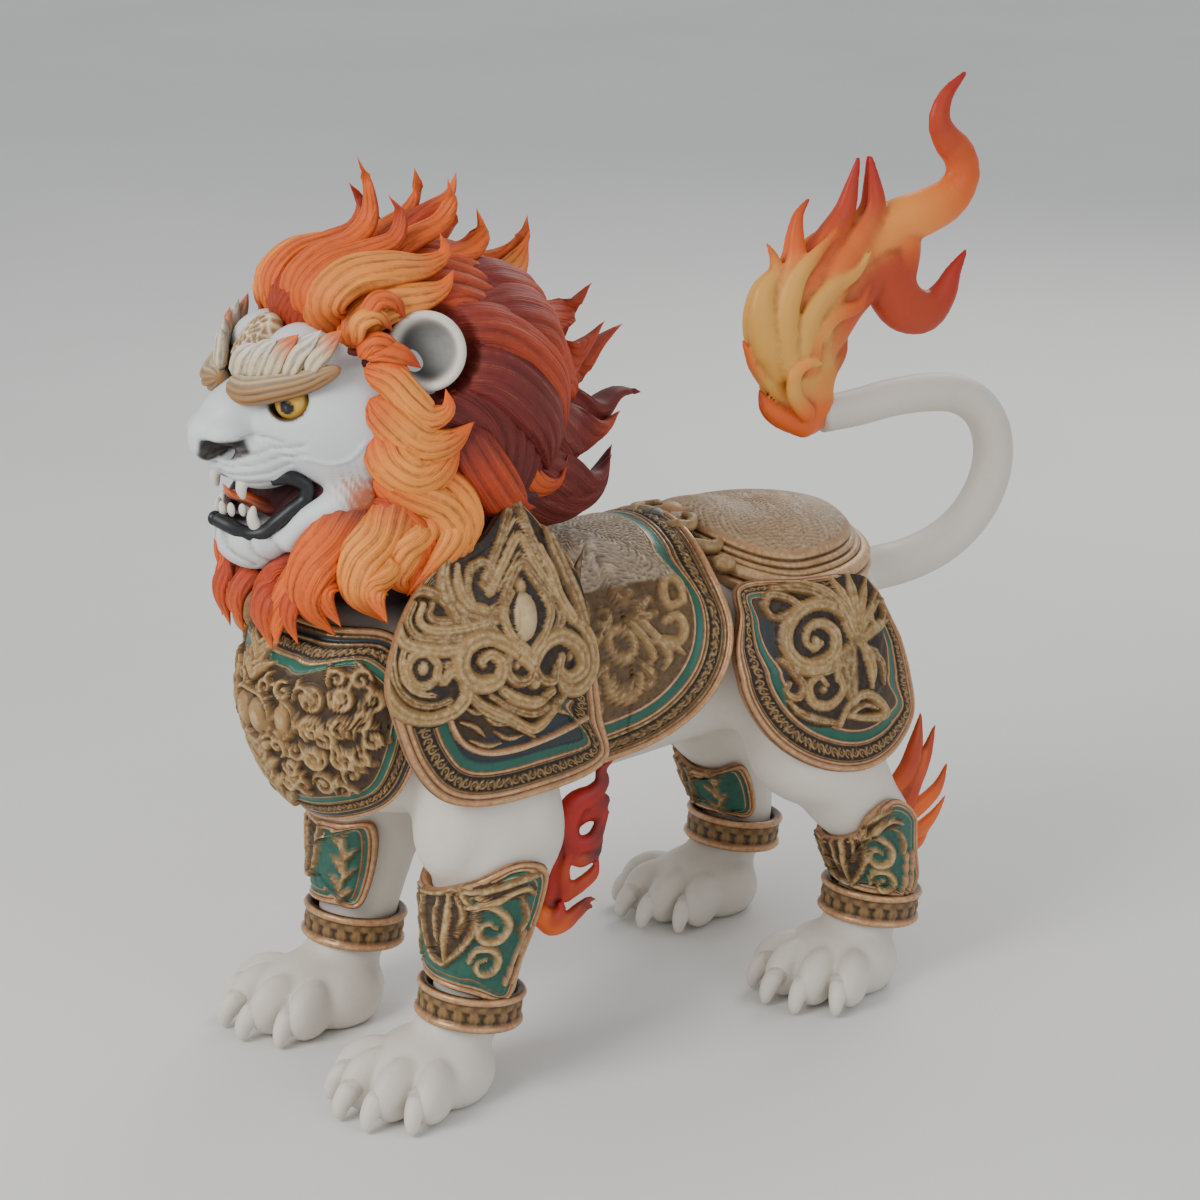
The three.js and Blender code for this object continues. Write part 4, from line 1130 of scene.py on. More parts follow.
class LION_OT_mane(bpy.types.Operator):
    """Models the mane: rounded masses under rows of combed flame locks"""

    bl_idname = "lion.mane"
    bl_label = "Mane"

    def execute(self, context):
        casting = Casting()
        for mass in MANE_MASSES:
            mane_mass(casting, *mass)
        casting.twin()
        for number, (wide, ridges, tones, pair, points) in enumerate(LOCKS):
            start = len(casting.shells)
            mane_lock(casting, number, wide, ridges, tones, points)
            if pair:
                casting.twin(start)
        casting.make("mane_hair", paint_pot("mane_hair"), "mane_paint", "mane")
        return {"FINISHED"}


# -------------------------------------------- the flame on the tail and behind the legs
# Tongues of the tail flame: place across, radii from root to tip, colours, points as y, z
TAIL_TONGUES = [
    ((0, 0), (30, 28, 27, 27, 27, 26, 24, 21, 17, 11, 3), "honey honey amber amber orange ember scarlet", [
        (297, 613), (304, 676), (346, 738), (394, 762), (446, 774), (476, 785), (491, 806), (485, 829),
        (467, 847), (457, 867), (465, 891), (489, 912),
    ]),
    ((0, 0), (22, 26, 27, 28, 28, 23, 14, 3), "orange ember ember scarlet", [
        (303, 640), (346, 698), (384, 720), (402, 694), (422, 674), (450, 668), (471, 684), (482, 704),
        (498, 725),
    ]),
    ((0, 0), (16, 22, 24, 20), "amber orange ember ember", [
        (376, 750), (412, 744), (408, 711), (410, 684),
    ]),
    ((4, 0), (16, 21, 20, 16, 10, 3), "honey orange ember scarlet", [
        (284, 650), (294, 716), (316, 754), (337, 784), (345, 808), (353, 836),
    ]),
    ((12, 2), (16, 19, 19, 15, 10, 3), "honey orange ember scarlet", [
        (298, 670), (320, 722), (352, 753), (373, 783), (372, 811), (368, 836),
    ]),
    ((8, 0), (18, 18, 16, 12, 7, 2), "honey honey orange ember", [
        (256, 650), (260, 709), (274, 742), (275, 767), (279, 788), (292, 803),
    ]),
    ((6, 0), (18, 22, 19, 13, 7, 2), "honey honey honey orange", [
        (258, 633), (236, 679), (236, 712), (252, 733), (250, 746), (241, 762),
    ]),
    ((4, 0), (14, 11, 8, 5, 2), "honey honey orange orange", [
        (268, 604), (240, 626), (226, 641), (219, 653), (212, 667),
    ]),
    ((10, 0), (18, 12, 8, 2), "orange orange orange ember", [
        (284, 576), (261, 582), (244, 594), (234, 612),
    ]),
    ((8, 0), (18, 11, 7, 2), "orange ember ember maroon", [(300, 614), (320, 626), (336, 640), (343, 660)]),
    ((24, 24), (10, 9, 8, 6, 2), "orange honey amber honey", [
        (276, 588), (260, 610), (261, 630), (278, 640), (297, 636),
    ]),
    ((17, 20), (12, 13, 11, 8, 2), "honey honey honey honey", [
        (274, 649), (285, 686), (308, 711), (340, 726), (357, 744),
    ]),
    ((16, 18), (12, 12, 10, 7, 2), "orange amber orange ember", [
        (284, 636), (291, 668), (318, 684), (346, 690), (360, 710),
    ]),
    ((16, 12), (12, 14, 12, 8, 2), "honey honey honey orange", [
        (262, 632), (256, 686), (270, 727), (294, 750), (318, 768),
    ]),
    ((0, 0), (34, 32), "orange orange honey honey", [(292, 590), (288, 614)]),
]  # fmt: skip
FLAME_FLAT = 0.6  # how thin the tail flame is across, beside its width
# Tongues behind the legs: radii from root to tip, colours, points
ELBOW_TONGUES = [
    ((10, 13, 14, 12, 9, 6, 1.6), "maroon scarlet scarlet maroon scarlet", [
        (108, -68, 222), (109, -71, 245), (111, -63, 264), (113, -44, 271), (114, -33, 282),
        (114, -34, 295), (114, -19, 303),
    ]),
    ((9, 9, 9, 7, 4), "scarlet scarlet maroon scarlet", [
        (110, -70, 236), (113, -62, 223), (115, -45, 224), (116, -37, 238), (116, -30, 250),
    ]),
    ((8, 11, 9, 5), "maroon scarlet maroon", [
        (112, -31, 261), (110, -42, 254), (109, -53, 250), (108, -65, 239),
    ]),
    ((8, 8, 7, 1.6), "scarlet ember plum maroon", [
        (108, -68, 218), (112, -58, 205), (114, -42, 210), (114, -33, 224),
    ]),
    ((8, 7, 5, 1.6), "scarlet ember scarlet", [
        (108, -72, 173), (110, -75, 194), (112, -72, 209), (113, -67, 220),
    ]),
    ((8, 8, 7, 1.6), "ember ember scarlet", [
        (108, -72, 170), (112, -59, 178), (114, -44, 188), (114, -37, 202),
    ]),
    ((11, 12, 10, 7, 4, 1.4), "orange orange ember maroon ember", [
        (108, -99, 153), (110, -88, 143), (112, -72, 145), (113, -60, 154), (113, -49, 161),
        (113, -38, 158),
    ]),
    ((9, 6, 1.4), "ember scarlet scarlet", [(114, -88, 150), (114, -81, 161), (114, -84, 168)]),
    ((7, 4, 1.2), "ember maroon ember", [(112, -60, 151), (112, -50, 153), (112, -42, 152)]),
    ((11, 12, 12, 12, 11), "maroon scarlet scarlet ember", [
        (100, -86, 241), (100, -79, 209), (100, -81, 183), (100, -86, 162), (102, -95, 149),
    ]),
]  # fmt: skip
HOCK_TONGUES = [
    ((11, 12, 9, 1.6), "orange ember ember", [
        (121, 312, 190), (125, 336, 214), (127, 346, 240), (125, 356, 279),
    ]),
    ((11, 11, 8, 1.6), "orange ember ember", [
        (121, 316, 180), (125, 348, 204), (126, 362, 230), (125, 375, 261),
    ]),
    ((11, 11, 8, 1.6), "orange orange ember", [
        (121, 316, 162), (125, 354, 174), (125, 380, 190), (125, 393, 215),
    ]),
    ((10, 10, 7, 1.6), "ember orange orange", [
        (121, 314, 146), (125, 348, 146), (125, 374, 158), (125, 392, 178),
    ]),
    ((8, 9, 6, 1.4), "ember ember orange", [
        (127, 318, 168), (131, 338, 188), (131, 350, 210), (129, 357, 234),
    ]),
    ((9, 8, 6, 1.4), "ember orange orange", [
        (121, 312, 134), (125, 338, 130), (125, 358, 134), (125, 372, 150),
    ]),
    ((12, 12, 11), "ember orange orange", [(116, 300, 196), (118, 306, 168), (118, 306, 134)]),
]  # fmt: skip
LIMB_FLAT = 0.75
TAIL_CELL, LIMB_CELL = 3.0, 2.9  # cell sizes of the clay


def mesh_hollows(points, faces):
    """How sunken each corner is beside its neighbours, from -0.1 on ridges to 0.5 in creases."""
    a, b, c = (points[faces[:, k]] for k in range(3))
    normal = np.zeros_like(points)
    face = np.cross(b - a, c - a)
    middle, count = np.zeros_like(points), np.zeros(len(points))
    for k in range(3):
        np.add.at(normal, faces[:, k], face)
        np.add.at(middle, faces[:, k], points[faces[:, (k + 1) % 3]])
        np.add.at(count, faces[:, k], 1)
    sunk = ((middle / count[:, None] - points) * unit(normal)).sum(1)
    for _ in range(3):
        spread, count = np.zeros(len(points)), np.zeros(len(points))
        for k in range(3):
            np.add.at(spread, faces[:, k], sunk[faces[:, (k + 1) % 3]])
            np.add.at(count, faces[:, k], 1)
        sunk = mix(sunk, spread / count, 0.6)
    return np.clip(sunk * 1.5, -0.1, 0.5)


def clay_flame(tongues, flat, step, mirror=False):
    """Tongues of clay run together and squeezed flat across; mirror completes a half that starts at x = 0."""
    spines = [np.array(path, float) / (flat, 1, 1) for *_, path in tongues]
    low = np.min([s.min(0) - max(t[0]) for s, t in zip(spines, tongues)], axis=0) - 3 * step
    high = np.max([s.max(0) + max(t[0]) for s, t in zip(spines, tongues)], axis=0) + 3 * step
    if mirror:
        low[0] = 0
    clay = Clay(low, high, step)
    for number, (spine, (radii, *_)) in enumerate(zip(spines, tongues)):
        clay.add(rod(spine, radii, 40), 4 if number else 0)
    points, faces = clay.skin(mirror=mirror)
    half = np.stack([np.abs(points[:, 0]) if mirror else points[:, 0], points[:, 1], points[:, 2]], -1)
    total, paint, t = 0, 0, np.linspace(0, 1, 22)
    for spine, (radii, tones, _) in zip(spines, tongues):
        gaps = np.linalg.norm(half[:, None] - curve(spine, t), axis=2)
        gaps = gaps / np.interp(t, np.linspace(0, 1, len(radii)), radii).clip(5)
        pull = np.exp(-8 * (gaps - gaps.min(1)[:, None]))
        share = pull @ t / pull.sum(1)
        weight = np.exp(-6 * gaps.min(1))[:, None]
        shades = np.array([colour(name) for name in tones.split()])
        stops = np.linspace(0, 1, len(shades))
        paint = paint + weight * np.stack([np.interp(share, stops, shades[:, k]) for k in range(3)], -1)
        total = total + weight
    # Relief from how sunken each corner is: painted shade in the creases between tongues, painted highlight
    # on the ridges
    return points * (flat, 1, 1), faces, paint / total, 0.66 - mesh_hollows(points, faces)


class LION_OT_tail_flame(bpy.types.Operator):
    """Models the flame tuft on the end of the tail"""

    bl_idname = "lion.tail_flame"
    bl_label = "Tail flame"

    def execute(self, context):
        casting = Casting()
        tongues = []
        for (root, tip), radii, tones, path in TAIL_TONGUES:
            places = np.linspace(root, tip, len(path))
            tongues.append((radii, tones, [(x, y, z) for x, (y, z) in zip(places, path)]))
        casting.add(*clay_flame(tongues, FLAME_FLAT, TAIL_CELL, True), 0.3)
        casting.make("tail_flame_hair", paint_pot("tail_flame_hair"), "flame_paint", "tail_flame")
        return {"FINISHED"}


def limb_flame(name, tongues, side):
    casting = Casting()
    points, faces, paint, relief = clay_flame(tongues, LIMB_FLAT, LIMB_CELL)
    casting.add(points * (side, 1, 1), faces, paint, relief, 0.3)
    casting.make(f"{name}_hair", paint_pot("limb_flame_hair"), "limb_flame_paint", name)


class LION_OT_limb_flames(bpy.types.Operator):
    """Models the flame locks behind the elbows and the hocks"""

    bl_idname = "lion.limb_flames"
    bl_label = "Elbow and hock flames"

    def execute(self, context):
        for word, side in SIDES.items():
            limb_flame(f"elbow_flame_{word}", ELBOW_TONGUES, side)
            limb_flame(f"hock_flame_{word}", HOCK_TONGUES, side)
        return {"FINISHED"}


# -------------------------------------------- armour: carved relief and banded plates
class Carving:
    """Relief on the field of a plate, at places in millimetres. Each stroke is half its width, its height,
    its colour, its size at either end, and its path in the plate's own coordinates."""

    def __init__(self, places, scale):
        self.places = places
        self.scale = scale
        self.height = np.zeros(len(places))
        # The bare ground starts low in relief and in gold darkened to 0.6: painted shade in the sunken ground
        self.relief = np.full(len(places), 0.3)
        self.paint = np.tile(colour("gold") * 0.6, (len(places), 1))

    def lay(self, rows, height, relief, tone):
        top = height > self.height[rows]
        rows = rows[top]
        self.height[rows] = height[top]
        self.relief[rows] = relief[top]
        self.paint[rows] = colour(tone)

    def stroke(self, wide, high, tone, ends, path):
        """A rounded bar along a path, with a groove along a wide one."""
        path = np.asarray(path, float) * self.scale
        length = np.linalg.norm(np.diff(path, axis=0), axis=1).sum()
        t = np.linspace(0, 1, max(8, int(length / 1.1)))
        line = curve(path, t)
        box = (self.places > line.min(0) - wide) & (self.places < line.max(0) + wide)
        rows = np.flatnonzero(box.all(1))
        if not len(rows):
            return
        gap = ((self.places[rows, None] - line) ** 2).sum(-1)
        spot = gap.argmin(1)
        size = (mix(ends[0], 1, ease(t, 0, 0.35)) * mix(ends[1], 1, ease(1 - t, 0, 0.35)))[spot]
        across = np.sqrt(gap.min(1)) / (wide * size)
        ridge = np.sqrt(np.clip(1 - across**2, 0, 1))
        if wide > 4.4:
            ridge = ridge * (1 - 0.2 * np.exp(-((across / 0.22) ** 2)))
        lift = high * bpy.context.scene.lion_sizes.carving / 4
        # Relief low at the stroke's edges and high along its crest: painted shade and painted highlight
        self.lay(rows, lift * ridge * mix(0.6, 1, size), 0.04 + 0.92 * ridge**0.7, tone)

    def boss(self, place, radii, high, tone, turned=0.0):
        """A domed boss, its second radius turned by some degrees."""
        offset = self.places - np.asarray(place, float) * self.scale
        c, s = math.cos(math.radians(turned)), math.sin(math.radians(turned))
        k = np.hypot((offset @ (c, s)) / radii[0], (offset @ (-s, c)) / radii[1])
        rows = np.flatnonzero(k < 1)
        dome = np.sqrt(1 - k[rows] ** 2)
        # Relief rising to the crown of the dome: painted highlight on top, painted shade round its foot
        self.lay(rows, high * (0.25 + 0.75 * dome), 0.35 + 0.6 * dome, tone)

    def strokes(self, table, fatter=1.25):
        for wide, high, tone, ends, path in table:
            self.stroke(wide * fatter, high, tone, ends, path)

    def mounds(self, table):
        """Low swellings under the strokes, with painted shade where no stroke covers them."""
        for place, radii, high in table:
            self.boss(place, radii, high, "gold")
        self.relief[self.height > 0] = 0.14

    def curl(self, place, radius, turns, start, hand, wide, high, tone):
        """A spiral that runs inwards from its rim."""
        t = np.linspace(0, 1, 16)
        angle = math.radians(start) + hand * 2 * math.pi * turns * t
        reach = radius * (1 - 0.86 * t)
        ring = np.stack([np.cos(angle), np.sin(angle)], -1) * reach[:, None] / self.scale
        self.stroke(wide, high, tone, (0.6, 0.6), np.asarray(place, float) + ring)

    def fill(self, inside, pitch, high, tones=("gold", "straw")):
        """Small curls with a leaf beside each, set close together wherever the field is still bare."""
        if not inside.any():
            return
        low, top = self.places[inside].min(0), self.places[inside].max(0)
        number = 0
        for j, y in enumerate(np.arange(low[1], top[1], pitch * 0.84)):
            for x in np.arange(low[0] + (j % 2) * pitch / 2, top[0], pitch):
                rows = np.flatnonzero((np.abs(self.places - (x, y)) < pitch * 0.42).all(1))
                number += 1
                if not len(rows) or (inside[rows] & (self.height[rows] < 0.5)).mean() < 0.62:
                    continue
                turn = number * 137.5
                hand = 1 if number % 2 else -1
                here = np.array((x, y)) / self.scale
                tone = tones[number % len(tones)]
                self.curl(here, pitch * 0.46, 1.2, turn, hand, pitch * 0.15, high, tone)
                for swing, reach in ((70, 0.6), (190, 0.62)):
                    a = math.radians(turn + hand * swing)
                    way = np.array((math.cos(a), math.sin(a)))
                    over = np.array((-way[1], way[0])) * hand
                    leaf = [way * 0.36, way * 0.5 + over * 0.14, way * reach + over * 0.4]
                    path = [here + p * pitch / self.scale for p in leaf]
                    self.stroke(pitch * 0.14, high * 0.85, "gold", (1, 0.4), path)

    def waves(self, where, run, rise, high, tone):
        """Rows of small wavy scales, one row over the next."""
        row = rise + 0.34 * np.sin(run * 2 * np.pi) + 0.16 * np.sin(run * 4.7 * np.pi + rise * 2.1)
        lip = scale_lip(row)
        self.height[where] = (high * lip)[where]
        # Relief high on each scale's lip and low under it: painted highlight and painted shade
        self.relief[where] = (0.34 + 0.6 * lip)[where]
        self.paint[where] = tone


def running_scroll(arc, across, width):
    """Curls facing up and down by turns along a border: 0 in its ground and 1 on its ridges."""
    phase = (arc / (width * 1.5)) % 1
    ridges = []
    for at, level, way in ((0.25, 0.46, 1), (0.75, 0.54, -1)):
        x, y = (phase - at) * 1.5, (across - level) * way
        gap = np.hypot(x, y)
        ring = np.clip(1 - np.abs(gap - 0.27) / 0.115, 0, 1) * ease(
            np.abs(np.arctan2(y, x) + 1.2), 0.25, 0.6,
        )
        ridges += [ring, np.clip(1 - gap / 0.13, 0, 1)]
        leaf = np.hypot((x - 0.375) / 0.13, (y + 0.14) / 0.34)
        ridges.append(np.clip(1 - leaf, 0, 1))
    return np.sqrt(np.max(ridges, axis=0))


def band(kind, p, arc, width):
    """One band of a border: height, relief, paint and shine for shares p of its width."""
    arch = np.sqrt(np.clip(1 - (2 * p - 1) ** 2, 0, 1))
    rim = bpy.context.scene.lion_sizes.rim / 5
    if kind == "motif":
        scroll = running_scroll(arc, p, width)
        # The scroll's ground is gold darkened to 0.35 and low in relief, painted shade; its ridges are high,
        # painted highlight
        tone = mix(colour("gold") * 0.35, colour("straw"), scroll[:, None])
        return 0.4 + 2.3 * scroll, 0.05 + 0.9 * scroll, tone, 0 * p
    tone = coat(p, kind)
    if kind in ("green", "slate"):
        return 0.9 - 0.7 * arch, 0.5 + 0.22 * arch, tone, 0.6 + 0 * p
    # Rims: relief highest on the crown, for painted highlight there and painted shade at the feet
    return 0.44 * width * arch * rim, 0.2 + 0.72 * arch, tone, ease(arch, 0.3, 0.9)


# Cells along the edge of a plate: on the left side, and on the hidden right one
CELLS = {"shoulder": {1: 224, -1: 104}, "hip": {1: 166, -1: 84}, "greave": {1: 84, -1: 68}}
RING = 1.1  # from one ring of corners to the next, across a border
BACK_OUT = (0, 0.9, 1.2, 0.9, 0.2, -3.0)
BACK_UP = (1, 0.78, 0.5, 0.2, 0.0, -0.35)


class Plate:
    """A banded and carved plate: an outline in a curved surface's own coordinates, around a centre. scale is
    the millimetres in one unit of each coordinate, and core is a point behind the plate."""

    def __init__(self, outline, centre, surface, scale, core, bands, narrow=None, base=10.0):
        self.outline, self.centre = np.asarray(outline, float), np.asarray(centre, float)
        self.scale, self.core = np.array(scale, float), np.array(core, float)
        self.surface, self.bands, self.narrow, self.base = surface, bands, narrow, base

    def build(self, casting, cells, dress, side=1):
        out, share, loop, faces = panel(cells)
        rim, centre = self.outline * self.scale, self.centre * self.scale
        edge = curve(rim, share, closed=True)
        ahead, behind = curve(rim, (share + 1e-3) % 1, True), curve(rim, (share - 1e-3) % 1, True)
        tangent = unit(ahead - behind)
        arm = centre - edge
        square_on = np.abs(arm[:, 0] * tangent[:, 1] - arm[:, 1] * tangent[:, 0])
        total = sum(width for width, _ in self.bands)
        share_wide = self.narrow(edge / self.scale) if self.narrow else np.ones(len(edge))
        ring = (1 - out) * cells / 2
        border_rings = math.ceil(total / RING)
        step = np.minimum(RING * share_wide, 0.7 * square_on / border_rings)
        reach = 1 - np.minimum(ring, border_rings) * step / square_on
        inner = np.clip((cells / 2 - ring) / (cells / 2 - border_rings), 0, 1)
        place = centre - arm * (reach * np.where(ring > border_rings, inner, 1))[:, None]
        outward = np.stack([tangent[:, 1], -tangent[:, 0]], -1)
        outward = outward * np.where((outward * arm).sum(1) > 0, -1, 1)[:, None]
        place = place + outward * np.array((*BACK_OUT, 0))[loop][:, None]
        native = place / self.scale
        arc = share * np.linalg.norm(np.diff(np.vstack([rim, rim[:1]]), axis=0), axis=1).sum()
        carving = Carving(place, self.scale)
        inside = (ring > border_rings) & (loop == 0)
        dress(carving, native, inside)
        height = np.full(len(out), self.base)
        relief, paint, shine = carving.relief.copy(), carving.paint.copy(), np.zeros(len(out))
        field = 1.6 * share_wide
        height = height + np.where(ring >= border_rings, field + carving.height, 0)
        start = 0.0
        for width, kind in self.bands:
            x = ring * RING
            rows = np.flatnonzero((x >= start - 1e-6) & (x < start + width - 1e-6) & (loop == 0))
            p = (x[rows] - start) / width
            up, painted_lighting, tone, gloss = band(kind, p, arc[rows], width)
            up = up * np.sqrt(share_wide[rows])
            over = carving.height[rows] > up + 0.5
            height[rows] = self.base + np.maximum(up, carving.height[rows])
            relief[rows] = np.where(over, carving.relief[rows], painted_lighting)
            paint[rows] = np.where(over[:, None], carving.paint[rows], tone)
            shine[rows] = np.where(over, 0, gloss)
            start += width
        back = loop > 0
        height[back] = self.base * np.array((*BACK_UP, 0))[loop[back]]
        relief[back] = 0.5
        paint[back] = colour(self.bands[0][1]) if self.bands[0][1] != "motif" else colour("gold")
        low = self.surface(native)
        e = 0.3 / self.scale
        run = self.surface(native + (e[0], 0)) - self.surface(native - (e[0], 0))
        rise = self.surface(native + (0, e[1])) - self.surface(native - (0, e[1]))
        normal = unit(np.cross(run, rise))
        normal = normal * np.where(((low - self.core) * normal).sum(1) < 0, -1, 1)[:, None]
        points = low + normal * height[:, None]
        points[loop == PANEL_BACK + 1] = self.core
        casting.add(points * (side, 1, 1), faces, paint, relief, shine)


# -------------------------------------------- armour: shoulder guards
def shoulder_surface(p):
    y, z = p[:, 0], p[:, 1]
    rise = z - 410
    x = 152 - 0.001 * (y + 165) ** 2 - 0.0016 * np.maximum(0, rise) ** 2 - 0.0006 * np.minimum(0, rise) ** 2
    return np.stack([x, y, z], -1)


SHOULDER = [
    (-286, 438), (-279, 401), (-263, 356), (-238, 323), (-206, 308), (-140, 305), (-50, 320), (-60, 370),
    (-74, 450), (-84, 516), (-106, 548), (-134, 578), (-178, 551), (-223, 536), (-262, 500),
]  # fmt: skip
SHOULDER_BANDS = [
    (7.7, "copper"), (5.5, "copper"), (2.2, "gold"), (14.3, "motif"), (2.2, "gold"), (3.3, "copper"),
    (8.8, "green"), (3.3, "slate"),
]  # fmt: skip
MASK_STROKES = [
    # the pointed crown
    (5, 9, "gold", (1, 1), [(-182, 520), (-160, 549), (-136, 577), (-127, 544), (-115, 512)]),
    (2.4, 7, "straw", (1, 1), [(-177, 526), (-159, 545), (-139, 562), (-130, 540), (-122, 517)]),
    (5, 10, "straw", (1, 1), [(-181, 508), (-161, 531), (-141, 548), (-131, 525), (-117, 497)]),
    (2.4, 8, "gold", (1, 1), [(-173, 508), (-158, 523), (-144, 535), (-135, 519), (-126, 502)]),
    (5, 11, "gold", (1, 1), [(-170, 498), (-158, 515), (-145, 526), (-133, 510), (-122, 491)]),
    # leaves at either side of the crown
    (8, 9, "gold", (0.5, 1), [
        (-215, 542), (-222, 524), (-220, 505), (-208, 490), (-188, 483), (-170, 489),
    ]),
    (5, 10, "straw", (0.5, 1), [(-207, 534), (-210, 516), (-204, 501), (-188, 493)]),
    (4.3, 9, "gold", (1, 0.7), [
        (-199, 497), (-202, 513), (-195, 529), (-181, 533), (-174, 522), (-181, 510), (-188, 516),
    ]),
    (7, 9, "gold", (0.5, 1), [(-107, 559), (-104, 535), (-98, 513), (-89, 489), (-83, 463)]),
    (6, 11, "straw", (0.6, 1), [(-120, 536), (-114, 514), (-109, 492), (-97, 470)]),
    (5, 8, "gold", (1, 0.6), [(-117, 492), (-108, 477), (-91, 474), (-82, 483)]),
    # brows that curl round the eyes
    (8, 14, "straw", (0.8, 0.6), [
        (-146, 437), (-164, 454), (-180, 465), (-197, 470), (-212, 464), (-218, 450), (-213, 437),
        (-197, 429), (-182, 433), (-179, 446), (-189, 455), (-199, 451),
    ]),
    (7.5, 13, "straw", (0.8, 0.6), [
        (-146, 437), (-134, 452), (-117, 458), (-101, 451), (-90, 437), (-91, 422), (-106, 418),
        (-117, 428), (-114, 439),
    ]),
    # nose and lip
    (5, 13, "gold", (1, 0.7), [(-171, 450), (-174, 437), (-164, 426), (-151, 427), (-146, 437)]),
    (5, 13, "gold", (1, 0.7), [(-146, 437), (-140, 425), (-126, 420), (-121, 431)]),
    (6, 12, "straw", (0.8, 0.8), [(-179, 421), (-164, 410), (-144, 403), (-127, 410)]),
    (4, 10, "gold", (0.8, 0.8), [(-191, 418), (-168, 401), (-144, 392), (-117, 401)]),
    # petals round the forehead boss
    (5, 12, "straw", (0.6, 1), [(-159, 504), (-171, 489), (-167, 469), (-147, 448)]),
    (5, 12, "straw", (0.6, 1), [(-130, 499), (-122, 482), (-131, 464), (-147, 448)]),
    (7, 9, "gold", (0.6, 0.9), [(-170, 499), (-186, 488), (-181, 470), (-155, 453)]),
    (7, 9, "gold", (0.6, 0.9), [(-118, 492), (-110, 474), (-120, 462), (-140, 451)]),
    # the great scroll in front of the mask
    (6.5, 12, "straw", (0.8, 0.8), [
        (-282, 490), (-291, 463), (-289, 436), (-274, 414), (-249, 405), (-227, 410), (-215, 422),
        (-217, 437), (-227, 445), (-236, 439),
    ]),
    (4.3, 9, "gold", (0.8, 0.8), [
        (-276, 479), (-281, 459), (-278, 438), (-265, 423), (-246, 417), (-231, 420),
    ]),
    (4, 8, "straw", (0.8, 0.8), [(-268, 474), (-273, 456), (-269, 440), (-258, 430), (-246, 427)]),
    (4.2, 10, "straw", (1, 1), [
        (-247, 465), (-260, 465), (-268, 454), (-264, 441), (-254, 436), (-244, 441), (-240, 453),
        (-246, 463),
    ]),
    (6, 9, "straw", (0.8, 1), [(-247, 468), (-228, 463), (-207, 464)]),
    (4, 8, "gold", (0.8, 1), [(-237, 452), (-227, 452), (-214, 448)]),
    # the upper scroll
    (6, 10, "straw", (0.7, 1), [
        (-262, 510), (-272, 494), (-269, 477), (-250, 468), (-224, 464), (-191, 470),
    ]),
    (4.3, 9, "gold", (0.7, 1), [
        (-254, 508), (-262, 494), (-258, 482), (-242, 476), (-219, 473), (-193, 477),
    ]),
    (4.3, 10, "straw", (0.7, 1), [
        (-246, 506), (-252, 495), (-248, 487), (-233, 482), (-212, 481), (-188, 483),
    ]),
    (4, 8, "gold", (0.7, 1), [(-237, 505), (-242, 497), (-236, 491), (-222, 489), (-203, 490)]),
    (5, 8, "gold", (0.7, 0.6), [(-264, 512), (-249, 518), (-233, 513), (-224, 501)]),
    # the rear scroll
    (7, 10, "straw", (0.6, 0.7), [
        (-101, 471), (-84, 458), (-75, 437), (-78, 415), (-93, 403), (-111, 409), (-117, 422),
    ]),
    (4.3, 9, "gold", (0.8, 0.6), [(-101, 458), (-89, 444), (-89, 429), (-101, 422)]),
    # jaw and the openwork below it
    (4.5, 11, "straw", (0.8, 0.6), [
        (-217, 430), (-202, 413), (-175, 396), (-145, 377), (-124, 391), (-108, 405), (-99, 418),
    ]),
    (2.5, 8, "gold", (0.8, 0.8), [(-215, 422), (-198, 403), (-171, 387), (-145, 369)]),
    (2.6, 5, "gold", (0.6, 0.4), [(-220, 397), (-206, 390), (-195, 378)]),
    (2.6, 5, "gold", (0.6, 0.4), [(-198, 402), (-186, 390), (-171, 385)]),
    (2.6, 5, "gold", (0.6, 0.4), [(-185, 381), (-171, 372), (-155, 372)]),
    (2.6, 5, "gold", (0.6, 0.4), [(-210, 377), (-193, 369), (-179, 369)]),
    (2.6, 5, "gold", (0.6, 0.4), [(-130, 387), (-117, 388), (-103, 380)]),
    (2.6, 5, "gold", (0.6, 0.4), [(-215, 410), (-204, 403), (-192, 404)]),
    (2.5, 6, "copper", (1, 1), [
        (-233, 420), (-229, 398), (-217, 376), (-197, 363), (-170, 359), (-126, 363), (-81, 371),
    ]),
]  # fmt: skip


# Low swellings under the strokes: place, radii, height
MASK_MOUNDS = [
    ((-150, 462), (64, 74), 8), ((-150, 520), (44, 62), 7), ((-248, 450), (44, 56), 6.5),
    ((-92, 452), (26, 62), 5), ((-200, 505), (34, 44), 5),
]  # fmt: skip
# Forehead, eyes, nose and hearts of the scrolls: place, radii, height, colour, turn in degrees
MASK_BOSSES = [
    ((-150, 481), (13, 22), 16, "bone", -6), ((-150, 508), (7, 8), 11, "straw"),
    ((-164, 441), (5.5, 5.5), 11, "gold"), ((-197, 447), (5, 5), 9, "gold"),
    ((-104, 437), (5, 6), 8, "gold"), ((-147, 422), (7, 7), 14, "gold"),
    ((-254, 452), (6, 8), 9, "straw", -10), ((-172, 438), (4, 4), 5, "gold"),
]  # fmt: skip


def dress_shoulder(carving, native, inside):
    """The guardian mask with its crown, scrolls and openwork."""
    y, z = native.T
    carving.mounds(MASK_MOUNDS)
    carving.strokes(MASK_STROKES)
    for boss in MASK_BOSSES:
        carving.boss(*boss)
    # Painted shade: the openwork below the jaw is not cut through, and its ground is slate where the holes
    # would be dark
    open_ground = inside & (z < 372 + 0.12 * (y + 230)) & (carving.height < 0.6)
    carving.paint[open_ground] = colour("slate")
    carving.relief[open_ground] = 0.62
    carving.fill(inside & (z > 420) & (carving.height < 0.5), 17, 6.5)


SHOULDER_SPIKE = [(142, -83, 445), (136, -81, 475), (126, -72, 498), (118, -57, 525)]


